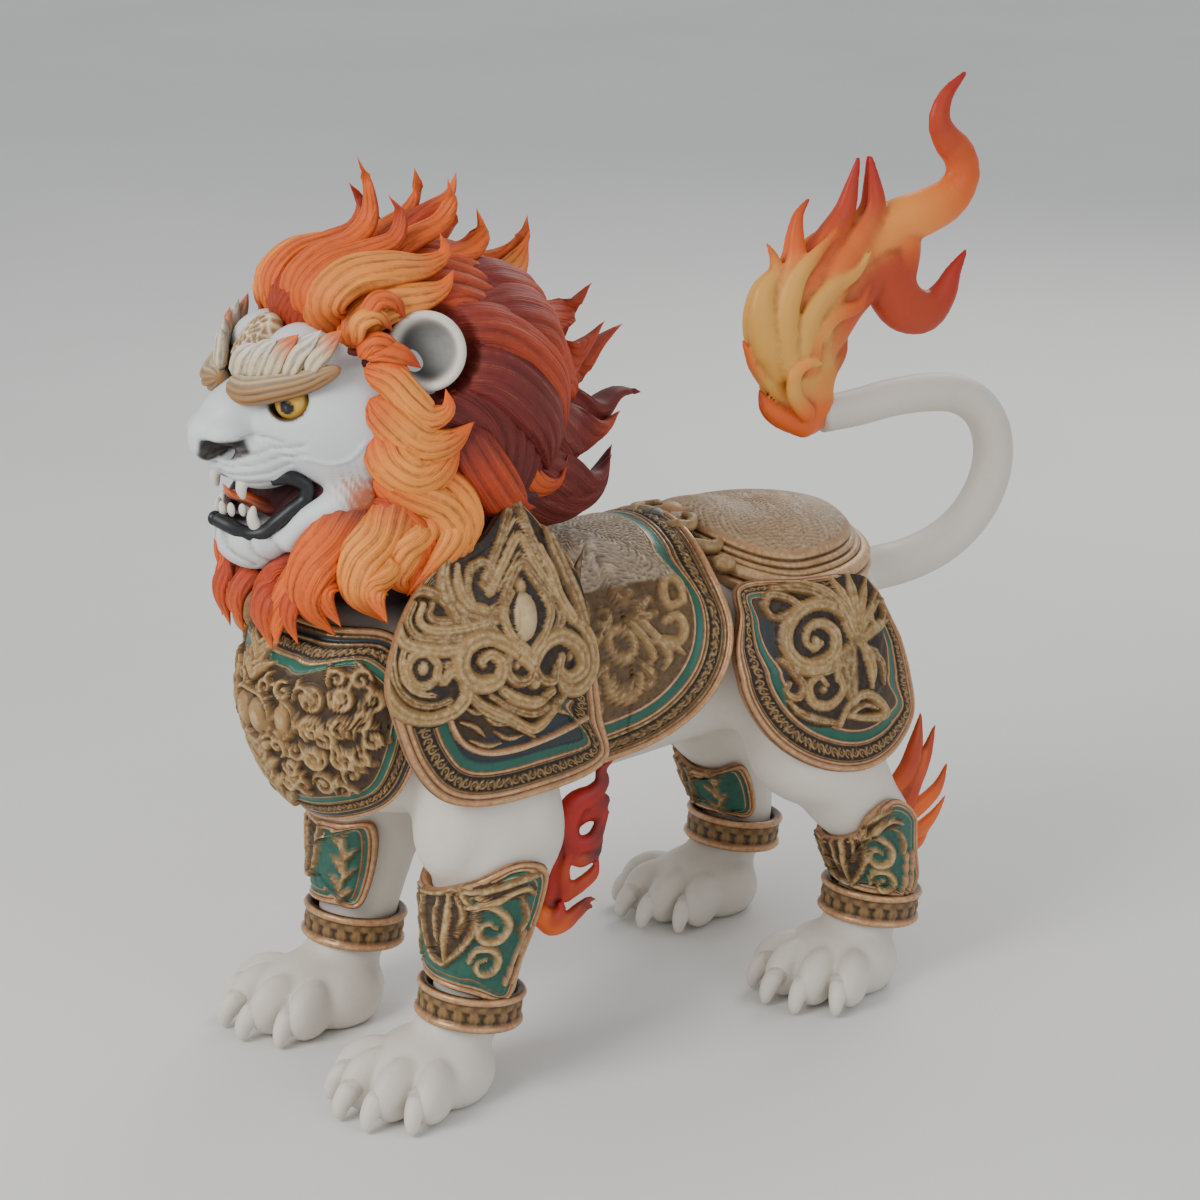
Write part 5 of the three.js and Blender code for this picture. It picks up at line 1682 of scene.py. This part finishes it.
def shoulder_narrow(edge):
    """The border is full below and fades to a thin line beside the mask."""
    front = ease(-edge[:, 1], -452, -398)
    rear = ease(-edge[:, 1], -470, -380)
    return 0.16 + 0.84 * np.where(edge[:, 0] < -165, front, rear)


class LION_OT_shoulders(bpy.types.Operator):
    """Models the shoulder guards with the guardian mask"""

    bl_idname = "lion.shoulders"
    bl_label = "Shoulder guards"

    def execute(self, context):
        plate = Plate(
            SHOULDER, (-165, 430), shoulder_surface, (1, 1), (60, -165, 420), SHOULDER_BANDS,
            shoulder_narrow,
        )
        for word, side in SIDES.items():
            casting = Casting()
            plate.build(casting, CELLS["shoulder"][side], dress_shoulder, side)
            spine = np.array(SHOULDER_SPIKE, float) * (side, 1, 1)
            points, faces, relief, _, t = strand(spine, 8, 5, (side, 0, 0.3), 30, 20, flame, 1, 0.2)
            casting.add(points, faces, colour("tan") * 0.4, relief)
            make_armour(casting, f"shoulder_plate_{word}")
        return {"FINISHED"}


# -------------------------------------------- armour: hip guards
def hip_surface(p):
    y, z = p[:, 0], p[:, 1]
    x = 118 + 0.34 * np.minimum(90, 458 - z) + 0.1 * np.maximum(0, 368 - z) - 0.001 * (y - 205) ** 2
    return np.stack([x - 0.0022 * np.maximum(0, y - 240) ** 2, y, z], -1)


HIP = [
    (123, 452), (119, 425), (108, 393), (111, 354), (134, 310), (169, 278), (217, 256), (261, 251),
    (306, 262), (338, 284), (330, 330), (305, 386), (284, 426), (262, 442), (194, 450),
]  # fmt: skip
HIP_BANDS = [
    (6.6, "copper"), (3.3, "copper"), (2.2, "gold"), (14.3, "motif"), (2.2, "gold"), (3.3, "copper"),
    (9.9, "green"), (3.3, "copper"),
]  # fmt: skip
HIP_STROKES = [
    # the great volute and the ribbon that runs into it
    (6.6, 11, "straw", (0.8, 0.5), [
        (236, 390), (228, 413), (209, 424), (182, 422), (165, 408), (161, 389), (173, 373), (197, 369),
        (214, 379), (217, 395), (204, 406), (188, 404), (182, 392), (190, 384), (199, 388),
    ]),
    (5, 10, "gold", (0.6, 1), [(156, 447), (184, 443), (208, 433), (226, 415), (237, 392)]),
    (4, 11, "straw", (0.5, 1), [(191, 448), (217, 434), (234, 414), (241, 388)]),
    (4, 7, "gold", (1, 0.7), [
        (146, 432), (152, 441), (173, 435), (181, 427), (167, 420), (153, 420), (146, 429),
    ]),
    # the fan of leaves
    (5.5, 10, "straw", (0.8, 0.3), [(239, 394), (237, 420), (226, 446)]),
    (5.5, 11, "straw", (0.8, 0.3), [(242, 395), (246, 420), (246, 447)]),
    (5.5, 10, "straw", (0.8, 0.3), [(244, 392), (256, 417), (268, 436)]),
    (5.5, 9, "straw", (0.8, 0.3), [(247, 388), (263, 405), (284, 414)]),
    (5.5, 9, "straw", (0.8, 0.3), [(249, 382), (268, 389), (290, 391)]),
    (3, 9, "gold", (1, 1), [(276, 420), (266, 409), (266, 394), (274, 388), (284, 399), (284, 412)]),
    # leaves and scrolls below
    (10, 8, "gold", (0.6, 0.7), [(238, 382), (230, 367), (229, 344), (233, 327)]),
    (6, 9, "straw", (0.8, 0.4), [(246, 381), (256, 361), (257, 336)]),
    (5, 9, "straw", (0.8, 0.4), [(229, 378), (215, 368), (212, 352)]),
    (4, 8, "gold", (0.8, 0.4), [(250, 376), (270, 359), (274, 333)]),
    (5, 8, "straw", (0.8, 0.5), [
        (215, 358), (219, 341), (203, 329), (184, 335), (179, 352), (191, 360), (201, 350),
    ]),
    (4.3, 8, "gold", (0.8, 0.5), [(152, 379), (166, 366), (174, 352), (166, 343), (156, 350), (159, 359)]),
    (4, 7, "gold", (0.6, 0.8), [(158, 340), (170, 327), (188, 317), (210, 309)]),
    (4, 8, "straw", (0.8, 0.8), [(160, 374), (181, 366), (201, 364), (220, 368)]),
    (4.5, 9, "straw", (0.7, 0.7), [
        (214, 306), (225, 323), (246, 331), (267, 317), (274, 303), (245, 307), (225, 314),
    ]),
    (3, 8, "gold", (1, 0.6), [(230, 316), (246, 320), (262, 312)]),
]  # fmt: skip


# Low swellings under the strokes: place, radii, height
HIP_MOUNDS = [((190, 398), (40, 42), 5), ((250, 400), (36, 50), 5), ((215, 340), (60, 36), 4.5)]


def dress_hip(carving, native, inside):
    """The volute, the fan of leaves and the scrolls below them."""
    carving.mounds(HIP_MOUNDS)
    carving.strokes(HIP_STROKES)
    carving.boss((193, 391), (5.5, 5.5), 10, "straw")
    carving.boss((196, 346), (5, 5), 7, "gold")
    y, z = native.T
    ground = inside & (y < 160) & (z > 360) & (z < 420) & (carving.height < 0.6)
    carving.paint[ground] = colour("slate")
    carving.relief[ground] = 0.62
    carving.fill(inside & ((y > 226) | (z < 360)), 19, 7)


def hip_narrow(edge):
    front_top = ease(edge[:, 1], 372, 440) * (edge[:, 0] < 230)
    rear_side = ease(edge[:, 1], 290, 400) * (edge[:, 0] >= 230)
    return 1 - 0.62 * front_top - 0.55 * rear_side


class LION_OT_hips(bpy.types.Operator):
    """Models the hip guards with the great volute"""

    bl_idname = "lion.hips"
    bl_label = "Hip guards"

    def execute(self, context):
        plate = Plate(HIP, (212, 362), hip_surface, (1, 1), (60, 215, 350), HIP_BANDS, hip_narrow)
        for word, side in SIDES.items():
            casting = Casting()
            plate.build(casting, CELLS["hip"][side], dress_hip, side)
            make_armour(casting, f"hip_plate_{word}")
        return {"FINISHED"}


# -------------------------------------------- armour: barrel plate
def barrel_surface(p):
    u, v = np.radians(p[:, 0]), p[:, 1]
    return np.stack([(126 + 0.0006 * (v + 40) ** 2) * np.sin(u), v, 368 + 126 * np.cos(u)], -1)


BARREL_SIDE = [(40, 108), (70, 106), (92, 82), (108, 40), (116, -10), (116, -70), (96, -112), (50, -120)]
BARREL = [(0, 116), *BARREL_SIDE, (0, -124), *[(-u, v) for u, v in reversed(BARREL_SIDE)]]
BARREL_BANDS = [
    (7.7, "copper"), (4.4, "gold"), (2.2, "gold"), (13.2, "motif"), (4.4, "gold"), (3.3, "copper"),
    (9.9, "green"), (3.3, "copper"),
]  # fmt: skip
BARREL_STROKES = [
    (3.5, 5, "straw", (0.8, 0.8), [(53, 62), (45, 65), (42, 55), (48, 44), (54, 45), (54, 56)]),
    (3.5, 5, "straw", (0.8, 0.8), [(60, 35), (59, 50), (64, 54), (69, 45), (67, 30)]),
    (3.5, 5, "gold", (0.8, 0.8), [(39, 15), (41, 2), (45, -9), (49, -4), (46, 8)]),
    (3.5, 5, "straw", (0.8, 0.8), [
        (60, -31), (68, -32), (72, -20), (69, -7), (64, -6), (60, -18), (61, -30),
    ]),
    (3.5, 5, "gold", (0.8, 0.8), [(50, 26), (53, 14), (57, 15), (56, 27)]),
    (3.5, 5, "gold", (0.8, 0.8), [(51, -30), (54, -24), (58, -32), (56, -39)]),
    (3.5, 5, "straw", (0.8, 0.8), [(77, -43), (84, -40), (88, -24), (86, -8), (80, -3)]),
    (3, 6, "gold", (0.8, 0.8), [(78, -35), (82, -33), (84, -24), (83, -15), (80, -12)]),
    (3.5, 6, "straw", (0.8, 0.4), [(59, -1), (66, 8), (73, 13), (78, 5)]),
    (3.5, 6, "straw", (0.8, 0.4), [(59, 11), (67, 23), (74, 31), (79, 23)]),
    (3.5, 6, "straw", (0.8, 0.4), [(67, 19), (70, 38), (74, 47)]),
    (3.5, 5, "gold", (0.8, 0.8), [(70, -56), (74, -49), (73, -39)]),
    (3.5, 5, "gold", (0.8, 0.8), [(75, -1), (81, 11), (85, 3)]),
    (3.5, 5, "gold", (0.8, 0.8), [(51, 9), (56, 7), (58, -7)]),
]  # fmt: skip


def dress_barrel(carving, native, inside):
    """Wavy scales over the back and leaf scrolls on the flanks, the same on both."""
    flank = np.abs(native[:, 0])
    carving.places = np.stack([flank * carving.scale[0], native[:, 1]], -1)
    carving.strokes(BARREL_STROKES, 1.5)
    carving.fill(inside & (flank > 42), 30, 6)
    ground = inside & (flank > 42) & (carving.height < 1)
    carving.paint[ground] = mix(colour("gold"), colour("straw"), 0.4)
    carving.relief[ground] = 0.36
    back = inside & (flank <= 42)
    tone = mix(colour("straw"), colour("ivory"), 0.3) * 0.8
    carving.waves(back, native[:, 1] / 21, flank * carving.scale[0] / 4.6, 1.5, tone)


class LION_OT_barrel(bpy.types.Operator):
    """Models the saddle-shaped plate over the back and flanks"""

    bl_idname = "lion.barrel"
    bl_label = "Barrel plate"

    def execute(self, context):
        casting = Casting()
        plate = Plate(BARREL, (0, 0), barrel_surface, (2.25, 1), (0, 0, 368), BARREL_BANDS)
        plate.build(casting, 192, dress_barrel)
        make_armour(casting, "barrel_plate")
        return {"FINISHED"}


# -------------------------------------------- armour: breastplate
def chest_surface(p):
    u, v = np.radians(p[:, 0]), p[:, 1]
    size = np.sqrt(np.maximum(0.1, 1 - ((v - 392) / 150) ** 2))
    return np.stack([124 * size * np.sin(u), -196 - 142 * size * np.cos(u), v], -1)


BREAST_SIDE = [(34, 474), (64, 466), (74, 420), (70, 350), (60, 308), (34, 284)]
BREAST = [(0, 478), *BREAST_SIDE, (0, 276), *[(-u, v) for u, v in reversed(BREAST_SIDE)]]
BREAST_BANDS = [
    (5.5, "copper"), (3.3, "gold"), (3.3, "slate"), (3.3, "gold"), (11, "motif"), (2.2, "gold"),
    (3.3, "straw"), (6.6, "green"), (2.2, "straw"),
]  # fmt: skip


def dress_breast(carving, native, inside):
    """A column of leaves and bosses down the middle, with close scrolls at either side."""
    across = np.abs(native[:, 0])
    carving.places = np.stack([across * carving.scale[0], native[:, 1]], -1)
    for z in range(300, 450, 18):
        if abs(z - 383) > 26:
            carving.stroke(5.5, 8, "straw", (0.9, 0.3), [(0, z - 8), (4, z), (11, z + 9)])
            carving.stroke(4, 8, "gold", (0.9, 0.3), [(0, z + 2), (5, z + 10), (6, z + 18)])
    carving.boss((5, 385), (12, 17), 12, "straw")
    carving.boss((18, 388), (9, 14), 9, "straw")
    carving.stroke(3, 9, "gold", (1, 1), [(0, 406), (8, 404), (12, 392), (11, 374), (4, 362), (0, 360)])
    carving.stroke(3, 8, "gold", (1, 1), [(18, 407), (23, 398), (24, 384), (19, 371), (14, 376)])
    for number, (angle, z) in enumerate((
        (31, 410), (43, 414), (31, 383), (43, 386), (31, 356), (43, 358), (33, 330),
    )):
        hand = 1 if number % 2 else -1
        carving.curl(
            (angle, z), 11.5, 1.7, 90 + 75 * number, hand, 3.4, 7, "straw" if number % 3 else "gold",
        )
        carving.boss((angle, z), (3, 3), 7, "gold")
    carving.fill(inside, 21, 6.5)


def breast_narrow(edge):
    return 0.72 + 0.38 * ease(edge[:, 1], 420, 470)


class LION_OT_breastplate(bpy.types.Operator):
    """Models the armour plate around the chest"""

    bl_idname = "lion.breastplate"
    bl_label = "Breastplate"

    def execute(self, context):
        casting = Casting()
        plate = Plate(
            BREAST, (0, 384), chest_surface, (2.3, 1), (0, -180, 385), BREAST_BANDS, breast_narrow, 8.5,
        )
        plate.build(casting, 168, dress_breast)
        make_armour(casting, "breastplate")
        return {"FINISHED"}


# -------------------------------------------- armour: rump plate
RUMP_WIDE = 118  # gives both coordinates of the profile about the same weight
# Share of the half width and height over the plate's base, from the crown of the dome round to the underside
RUMP_PROFILE = [
    (0, 44), (0.3, 43), (0.5, 39.5), (0.68, 33), (0.8, 25.5), (0.845, 21), (0.862, 17.5), (0.848, 14.6),
    (0.87, 14.4), (0.894, 12.4), (0.896, 9.6), (0.88, 7.8), (0.905, 7.6), (0.93, 6), (0.935, 3.4),
    (0.92, 1.6), (0.95, 2.8), (0.995, 0.6), (1.02, -4.6), (1.0, -9.6), (0.988, -11), (1.01, -12.6),
    (1.03, -17.6), (1.012, -22.6), (0.96, -24), (0.8, -20), (0.4, -16), (0, -16),
]  # fmt: skip


def rump_point(share, turn, height):
    across, along = np.cos(turn), np.sin(turn)
    long = np.where(along > 0, 132, 100)
    sway = 26 * np.maximum(0, -along) ** 2 - 8 * np.abs(across)
    return np.stack([126 * share * across, 214 + long * share * along, 456 + height + sway * share], -1)


class LION_OT_rump(bpy.types.Operator):
    """Models the domed plate over the rump and its clasp"""

    bl_idname = "lion.rump"
    bl_label = "Rump plate"

    def execute(self, context):
        casting = Casting()
        rows, cols = 94, 176
        row, turn, faces = ball(rows, cols)
        t = np.linspace(0, 1, rows + 1)
        spots = curve(np.array(RUMP_PROFILE) * (RUMP_WIDE, 1), mix(t * 0.62, 1, ease(t, 0.9, 1.0)))
        share, height = np.where((row == 0) | (row == rows), 0, spots[row, 0] / RUMP_WIDE), spots[row, 1]
        dome = (1 - ease(share, 0.8, 0.85)) * (height > 20)
        x, y, _ = rump_point(share, turn, height).T
        lip = scale_lip(x / 4.8 + 0.36 * np.sin(y / 3.6) + 0.16 * np.sin(y / 1.9 + x / 7))
        points = rump_point(share, turn, height + 1.5 * lip * dome)
        # Relief from how the profile bends: painted shade in its hollows, painted highlight on its rounded
        # edges
        slope = np.gradient(spots[:, 0]), np.gradient(spots[:, 1])
        bend = np.gradient(slope[0]) * slope[1] - np.gradient(slope[1]) * slope[0]
        painted_lighting = np.clip(0.62 + bend / (slope[0] ** 2 + slope[1] ** 2 + 0.05) * 2.2, 0.12, 0.95)[row]
        relief = mix(painted_lighting, 0.36 + 0.56 * lip, dome)
        paint = mix(colour("copper"), mix(colour("straw"), colour("ivory"), 0.16), dome[:, None])
        paint = dab(paint, colour("gold"), ease(share, 0.84, 0.86) * (1 - ease(share, 0.94, 0.95)) * 0.5)
        casting.add(points, faces, paint, relief, 0.6 * (1 - dome))
        self.clasp(casting)
        make_armour(casting, "rump_plate")
        return {"FINISHED"}

    def clasp(self, casting):
        """The block that holds the plate to the one in front, with its knob and curls."""
        for centre, radii, tone in (
            ((0, 120, 492), (36, 24, 15), "gold"),
            ((0, 104, 497), (18, 15, 13), "slate"),
            ((0, 126, 503), (13, 13, 9), "copper"),
        ):
            points, faces, way = lump(centre, radii, 40, 56)
            # Relief higher on top of each lump and lower underneath: painted highlight above, painted shade
            # below
            casting.add(points, faces, colour(tone), 0.62 + 0.3 * way[:, 2])
        for side in SIDES.values():
            for path, wide in (
                ([(20, 98, 494), (34, 104, 500), (40, 120, 498), (30, 130, 502), (20, 124, 505)], 6.5),
                ([(44, 108, 486), (56, 118, 482), (64, 132, 480), (60, 146, 484)], 8),
                ([(78, 120, 466), (84, 130, 468), (88, 142, 464)], 10),
            ):
                spine = np.array(path, float) * (side, 1, 1)
                outward = (side * 0.5, 0, 1)
                points, faces, relief, _, t = strand(
                    spine, wide, wide, outward, 30, 24, lambda t: 0.25 + 0.75 * np.sin(np.pi * t) ** 0.5,
                )
                casting.add(points, faces, colour("straw"), relief)


# -------------------------------------------- armour: greaves and anklets
# Sections of the shins: height, middle across and along, half width and half length
FORE_SECTIONS = [
    (34, 114, -190, 40, 42), (108, 114, -180, 40, 42), (156, 113, -170, 45, 50), (236, 109, -156, 56, 64),
    (330, 96, -157, 62, 86),
]  # fmt: skip
HIND_SECTIONS = [
    (34, 121, 292, 34, 38), (118, 124, 303, 37, 40), (182, 125, 286, 42, 50), (236, 118, 240, 56, 66),
    (332, 96, 225, 70, 90),
]  # fmt: skip


def shin_surface(sections):
    """The face of a leg: the angle outwards from the front and the height."""
    z, x, y, wide, long = np.array(sections, float).T

    def surface(p):
        u, v = np.radians(p[:, 0]), p[:, 1]
        spot = [np.interp(v, z, k) for k in (x, y, wide, long)]
        return np.stack([spot[0] + (spot[2] + 2) * np.sin(u), spot[1] - (spot[3] + 2) * np.cos(u), v], -1)

    return surface


FORE_GREAVE = [
    (-60, 216), (-30, 214), (0, 214), (40, 228), (84, 246), (112, 232), (118, 200), (108, 150), (100, 104),
    (50, 116), (0, 122), (-30, 124), (-60, 124),
]  # fmt: skip
HIND_GREAVE = [
    (-78, 172), (-40, 166), (0, 168), (40, 178), (80, 206), (110, 214), (128, 196), (124, 150), (118, 100),
    (60, 106), (0, 112), (-40, 112), (-78, 110),
]  # fmt: skip
GREAVE_BANDS = [(5.5, "copper"), (3.3, "copper"), (3.3, "green"), (2.2, "copper")]
GREAVE_STROKES = [
    (3.5, 4, "gold", (1, 1), [(28, 224), (47, 221), (68, 226), (86, 231), (98, 232)]),
    (3, 5, "straw", (0.8, 0.6), [(51, 216), (66, 211), (78, 219), (91, 221), (100, 213)]),
    (3, 5, "gold", (1, 1), [
        (-7, 210), (19, 217), (35, 228), (39, 216), (50, 203), (50, 182), (39, 162), (22, 144),
    ]),
    (3, 5, "gold", (1, 1), [(22, 144), (8, 149), (-3, 171), (-7, 205)]),
    (3.5, 5, "straw", (0.6, 0.5), [(26, 217), (26, 197), (22, 168), (22, 150)]),
    (3, 4, "gold", (0.6, 0.5), [(33, 214), (40, 200), (35, 176)]),
    (3, 4, "gold", (0.6, 0.5), [(15, 210), (12, 190), (14, 162)]),
    (3.4, 6, "straw", (0.7, 0.5), [
        (44, 206), (56, 208), (72, 200), (80, 186), (74, 172), (60, 171), (54, 181), (61, 190), (69, 184),
    ]),
    (3.2, 6, "straw", (0.7, 0.5), [
        (48, 150), (54, 162), (68, 162), (76, 150), (71, 138), (59, 138), (56, 148), (64, 152),
    ]),
    (3, 5, "gold", (0.4, 1), [(86, 214), (92, 204), (96, 190), (92, 180)]),
    (2.2, 4, "copper", (1, 1), [(98, 176), (93, 150), (88, 124)]),
    (2.2, 4, "copper", (1, 1), [(108, 176), (102, 150), (97, 124)]),
]  # fmt: skip


def dress_greave(lift):
    """A leaf shield and scrolls on a green shin; lift moves them to the height of the plate."""

    def dress(carving, native, inside):
        carving.paint[:] = colour("green")
        carving.relief[:] = 0.62
        carving.boss((19, 186 + lift), (25, 41), 3.4, "gold")
        carving.boss((70, 222 + lift), (30, 9), 3.2, "gold", -12)
        # The bare parts of the swellings are low in relief, for painted shade on them
        carving.relief[carving.height > 0] = 0.2
        for wide, high, tone, ends, path in GREAVE_STROKES:
            carving.stroke(wide * 1.15, high + 1.5, tone, ends, [(u, z + lift) for u, z in path])
        for u, z, tilt in (
            (-28, 150, 1), (-28, 172, 1), (-28, 194, 1), (-44, 160, -1), (-44, 182, -1), (-44, 138, -1),
        ):
            leaf = [(u - 8 * tilt, z - 9), (u - 3 * tilt, z), (u + 5 * tilt, z + 7)]
            carving.stroke(3.6, 5, "gold", (0.9, 0.3), [(x, y + lift) for x, y in leaf])
        carving.stroke(2.4, 5, "straw", (0.8, 0.8), [
            (-36, 132 + lift), (-37, 168 + lift), (-35, 206 + lift),
        ])

    return dress


class LION_OT_greaves(bpy.types.Operator):
    """Models the four leg guards"""

    bl_idname = "lion.greaves"
    bl_label = "Greaves"

    def execute(self, context):
        for end, sections, outline, centre, core, lift in (
            ("front", FORE_SECTIONS, FORE_GREAVE, (25, 170), (112, -168, 165), 0),
            ("hind", HIND_SECTIONS, HIND_GREAVE, (22, 144), (123, 288, 145), -26),
        ):
            plate = Plate(outline, centre, shin_surface(sections), (0.9, 1), core, GREAVE_BANDS, None, 5.0)
            for word, side in SIDES.items():
                casting = Casting()
                plate.build(casting, CELLS["greave"][side], dress_greave(lift), side)
                make_armour(casting, f"{end}_greave_{word}")
        return {"FINISHED"}


ANKLET_SECTION = [
    (43, -14), (47, -17.4), (52, -16.6), (53.6, -13.4), (52, -10.4), (49.8, -9.2), (49.6, 0), (49.8, 9.2),
    (52, 10.4), (53.6, 13.4), (52, 16.6), (47, 17.4), (43, 14), (42.6, 0),
]  # fmt: skip


# Centre of each band on the left, its tilt, and the number of leaves round it
ANKLETS = {"front": (114, -186, 91), "hind": (122, 297, 86)}
ANKLET_TILT = math.radians(-9)
ANKLET_LEAVES = 20


def anklet_ring():
    """A tilted band with rolled rims and a row of leaves and beads: points round its own centre, faces,
    paint, relief and shine."""
    section, turn, faces = hoop(30, 120)
    spot = curve(ANKLET_SECTION, (section / (2 * np.pi)) % 1, closed=True)
    middle = (np.abs(spot[:, 1]) < 9.3) & (spot[:, 0] > 48)
    across = np.clip(spot[:, 1] / 18.6 + 0.5, 0, 1)
    phase = (turn * ANKLET_LEAVES / (2 * np.pi)) % 1
    width = 0.46 * np.clip(1.25 - across, 0.2, 1)
    leaf = 1 - np.hypot((phase - 0.5) / width, (across - 0.46) / 0.48)
    leaf = np.sqrt(np.clip(leaf, 0, 1)) * (1 - 0.35 * np.exp(-(((phase - 0.5) / 0.06) ** 2)))
    bead = np.clip(1 - np.hypot((np.abs(phase - 0.5) - 0.5) * 2.2, (across - 0.8) / 0.2), 0, 1) ** 0.5
    carved = np.maximum(leaf, 0.8 * bead) * middle
    reach = spot[:, 0] + 2.4 * carved
    x, y, z = reach * np.cos(turn), reach * np.sin(turn), spot[:, 1]
    c, s = math.cos(ANKLET_TILT), math.sin(ANKLET_TILT)
    ring = np.stack([x, y * c - z * s, y * s + z * c], -1)
    # Ground between the leaves in gold darkened to 0.8 and low in relief: painted shade; the leaves and the
    # rims' crests stand high for painted highlight
    carved_paint = mix(colour("gold") * 0.8, colour("straw"), carved[:, None])
    paint = np.where(middle[:, None], carved_paint, colour("copper"))
    relief = np.where(middle, 0.2 + 0.76 * carved, 0.2 + 0.7 * ease(spot[:, 0], 49.8, 52.5))
    return ring, faces, paint, relief, np.where(middle, 0, 0.8)


class LION_OT_anklets(bpy.types.Operator):
    """Models the four ring bands over the paws"""

    bl_idname = "lion.anklets"
    bl_label = "Anklets"

    def execute(self, context):
        ring, *finish = anklet_ring()
        for end, (x, y, z) in ANKLETS.items():
            for word, side in SIDES.items():
                casting = Casting()
                casting.add(ring + (side * x, y, z), *finish)
                make_armour(casting, f"{end}_anklet_{word}")
        return {"FINISHED"}


# -------------------------------------------- floor, light and camera
# The camera stands where the photograph was taken; angles in degrees, lengths in millimetres
CAMERA = {"target": (0, 40, 424), "distance": 3200, "azimuth": 56.5, "elevation": 18, "lens": 96}


# Lamps: name, place and what it looks at in metres, size, power, tint
LAMPS = [
    ("key_light", (0.5, -3.0, 2.3), (0, 0, 0.45), 1.6, 84, (1.0, 0.985, 0.96)),
    ("fill_light", (3.4, 0.6, 1.5), (0, 0, 0.4), 2.4, 26, (0.95, 0.97, 1.0)),
    ("back_light", (-1.6, 2.6, 2.4), (0, 0, 0.5), 1.6, 40, (1.0, 0.98, 0.96)),
]


def looking_from(place, back):
    """The stand of a camera or lamp that is at place and looks against back."""
    right = unit(np.cross(UP, back))
    axes = np.stack([right, np.cross(back, right), back], -1)
    return Matrix.Translation(place) @ Matrix(axes.tolist()).to_4x4()


def stand_camera():
    azimuth, elevation = math.radians(CAMERA["azimuth"]), math.radians(CAMERA["elevation"])
    level = math.cos(elevation)
    back = np.array([math.sin(azimuth) * level, -math.cos(azimuth) * level, math.sin(elevation)])
    place = (np.array(CAMERA["target"]) + back * CAMERA["distance"] - CENTRE) * MM
    lens = bpy.data.cameras.new("photo_camera")
    lens.lens, lens.sensor_width = CAMERA["lens"], 36
    camera = bpy.data.objects.new("photo_camera", lens)
    camera.matrix_world = looking_from(place, back)
    bpy.context.scene.collection.objects.link(camera)
    bpy.context.scene.camera = camera


def soft_light(name, place, target, size, power, tint):
    """A large square lamp that looks at a point."""
    lamp = bpy.data.lights.new(name, "AREA")
    lamp.shape, lamp.size, lamp.energy, lamp.color = "SQUARE", size, power, tint
    light = bpy.data.objects.new(name, lamp)
    light.matrix_world = looking_from(place, unit(np.array(place, float) - np.array(target, float)))
    bpy.context.scene.collection.objects.link(light)


def lay_floor():
    bm = bmesh.new()
    bmesh.ops.create_grid(bm, x_segments=8, y_segments=8, size=16)
    mesh = bpy.data.meshes.new("floor")
    bm.to_mesh(mesh)
    bm.free()
    floor = bpy.data.objects.new("floor", mesh)
    bpy.context.scene.collection.objects.link(floor)
    r = Recipe("floor_paper")
    place = r.put("TexCoord")["Object"]
    tone = r.spread(r.noise(place, 1.3), 0.3, 0.7, 0.0, 1.0)
    base = r.lay(tone, (0.74, 0.73, 0.71, 1), (0.78, 0.77, 0.75, 1))
    shader = r.put("BsdfPrincipled", {"Base Color": base, "Roughness": 0.8})[0]
    r.put("OutputMaterial", {"Surface": shader})
    mesh.materials.append(r.material)


class LION_OT_stage(bpy.types.Operator):
    """Lays the floor and sets up the lights and the camera"""

    bl_idname = "lion.stage"
    bl_label = "Floor, light and camera"

    def execute(self, context):
        stand_camera()
        lay_floor()
        for lamp in LAMPS:
            soft_light(*lamp)
        world = bpy.data.worlds.new("studio")
        bpy.context.scene.world = world
        world.use_nodes = True
        background = world.node_tree.nodes["Background"]
        background.inputs[0].default_value = (0.83, 0.85, 0.88, 1)
        background.inputs[1].default_value = 0.72
        return {"FINISHED"}


# -------------------------------------------- panel, registration and the run
PIECES = [
    LION_OT_stage, LION_OT_body, LION_OT_head, LION_OT_mane, LION_OT_tail_flame, LION_OT_limb_flames,
    LION_OT_breastplate, LION_OT_shoulders, LION_OT_barrel, LION_OT_rump, LION_OT_hips, LION_OT_greaves,
    LION_OT_anklets,
]


class LION_PT_pieces(bpy.types.Panel):
    """Lists the pieces of the guardian lion"""

    bl_label = "Guardian Lion"
    bl_idname = "LION_PT_pieces"
    bl_space_type = "VIEW_3D"
    bl_region_type = "UI"
    bl_category = "Lion"

    def draw(self, context):
        for piece in PIECES:
            self.layout.operator(piece.bl_idname)
        for group in (context.scene.lion_sizes, context.scene.lion_paints):
            for name in group.bl_rna.properties.keys():
                if name not in ("name", "rna_type"):
                    self.layout.prop(group, name)


CLASSES = [LionPaints, LionSizes, *PIECES, LION_PT_pieces]


def register():
    for item in CLASSES:
        bpy.utils.register_class(item)
    bpy.types.Scene.lion_paints = bpy.props.PointerProperty(type=LionPaints)
    bpy.types.Scene.lion_sizes = bpy.props.PointerProperty(type=LionSizes)


def unregister():
    del bpy.types.Scene.lion_sizes
    del bpy.types.Scene.lion_paints
    for item in reversed(CLASSES):
        bpy.utils.unregister_class(item)


def main():
    register()
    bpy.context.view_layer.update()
    for piece in PIECES:
        group, name = piece.bl_idname.split(".")
        getattr(getattr(bpy.ops, group), name)()


if __name__ == "__main__":
    main()
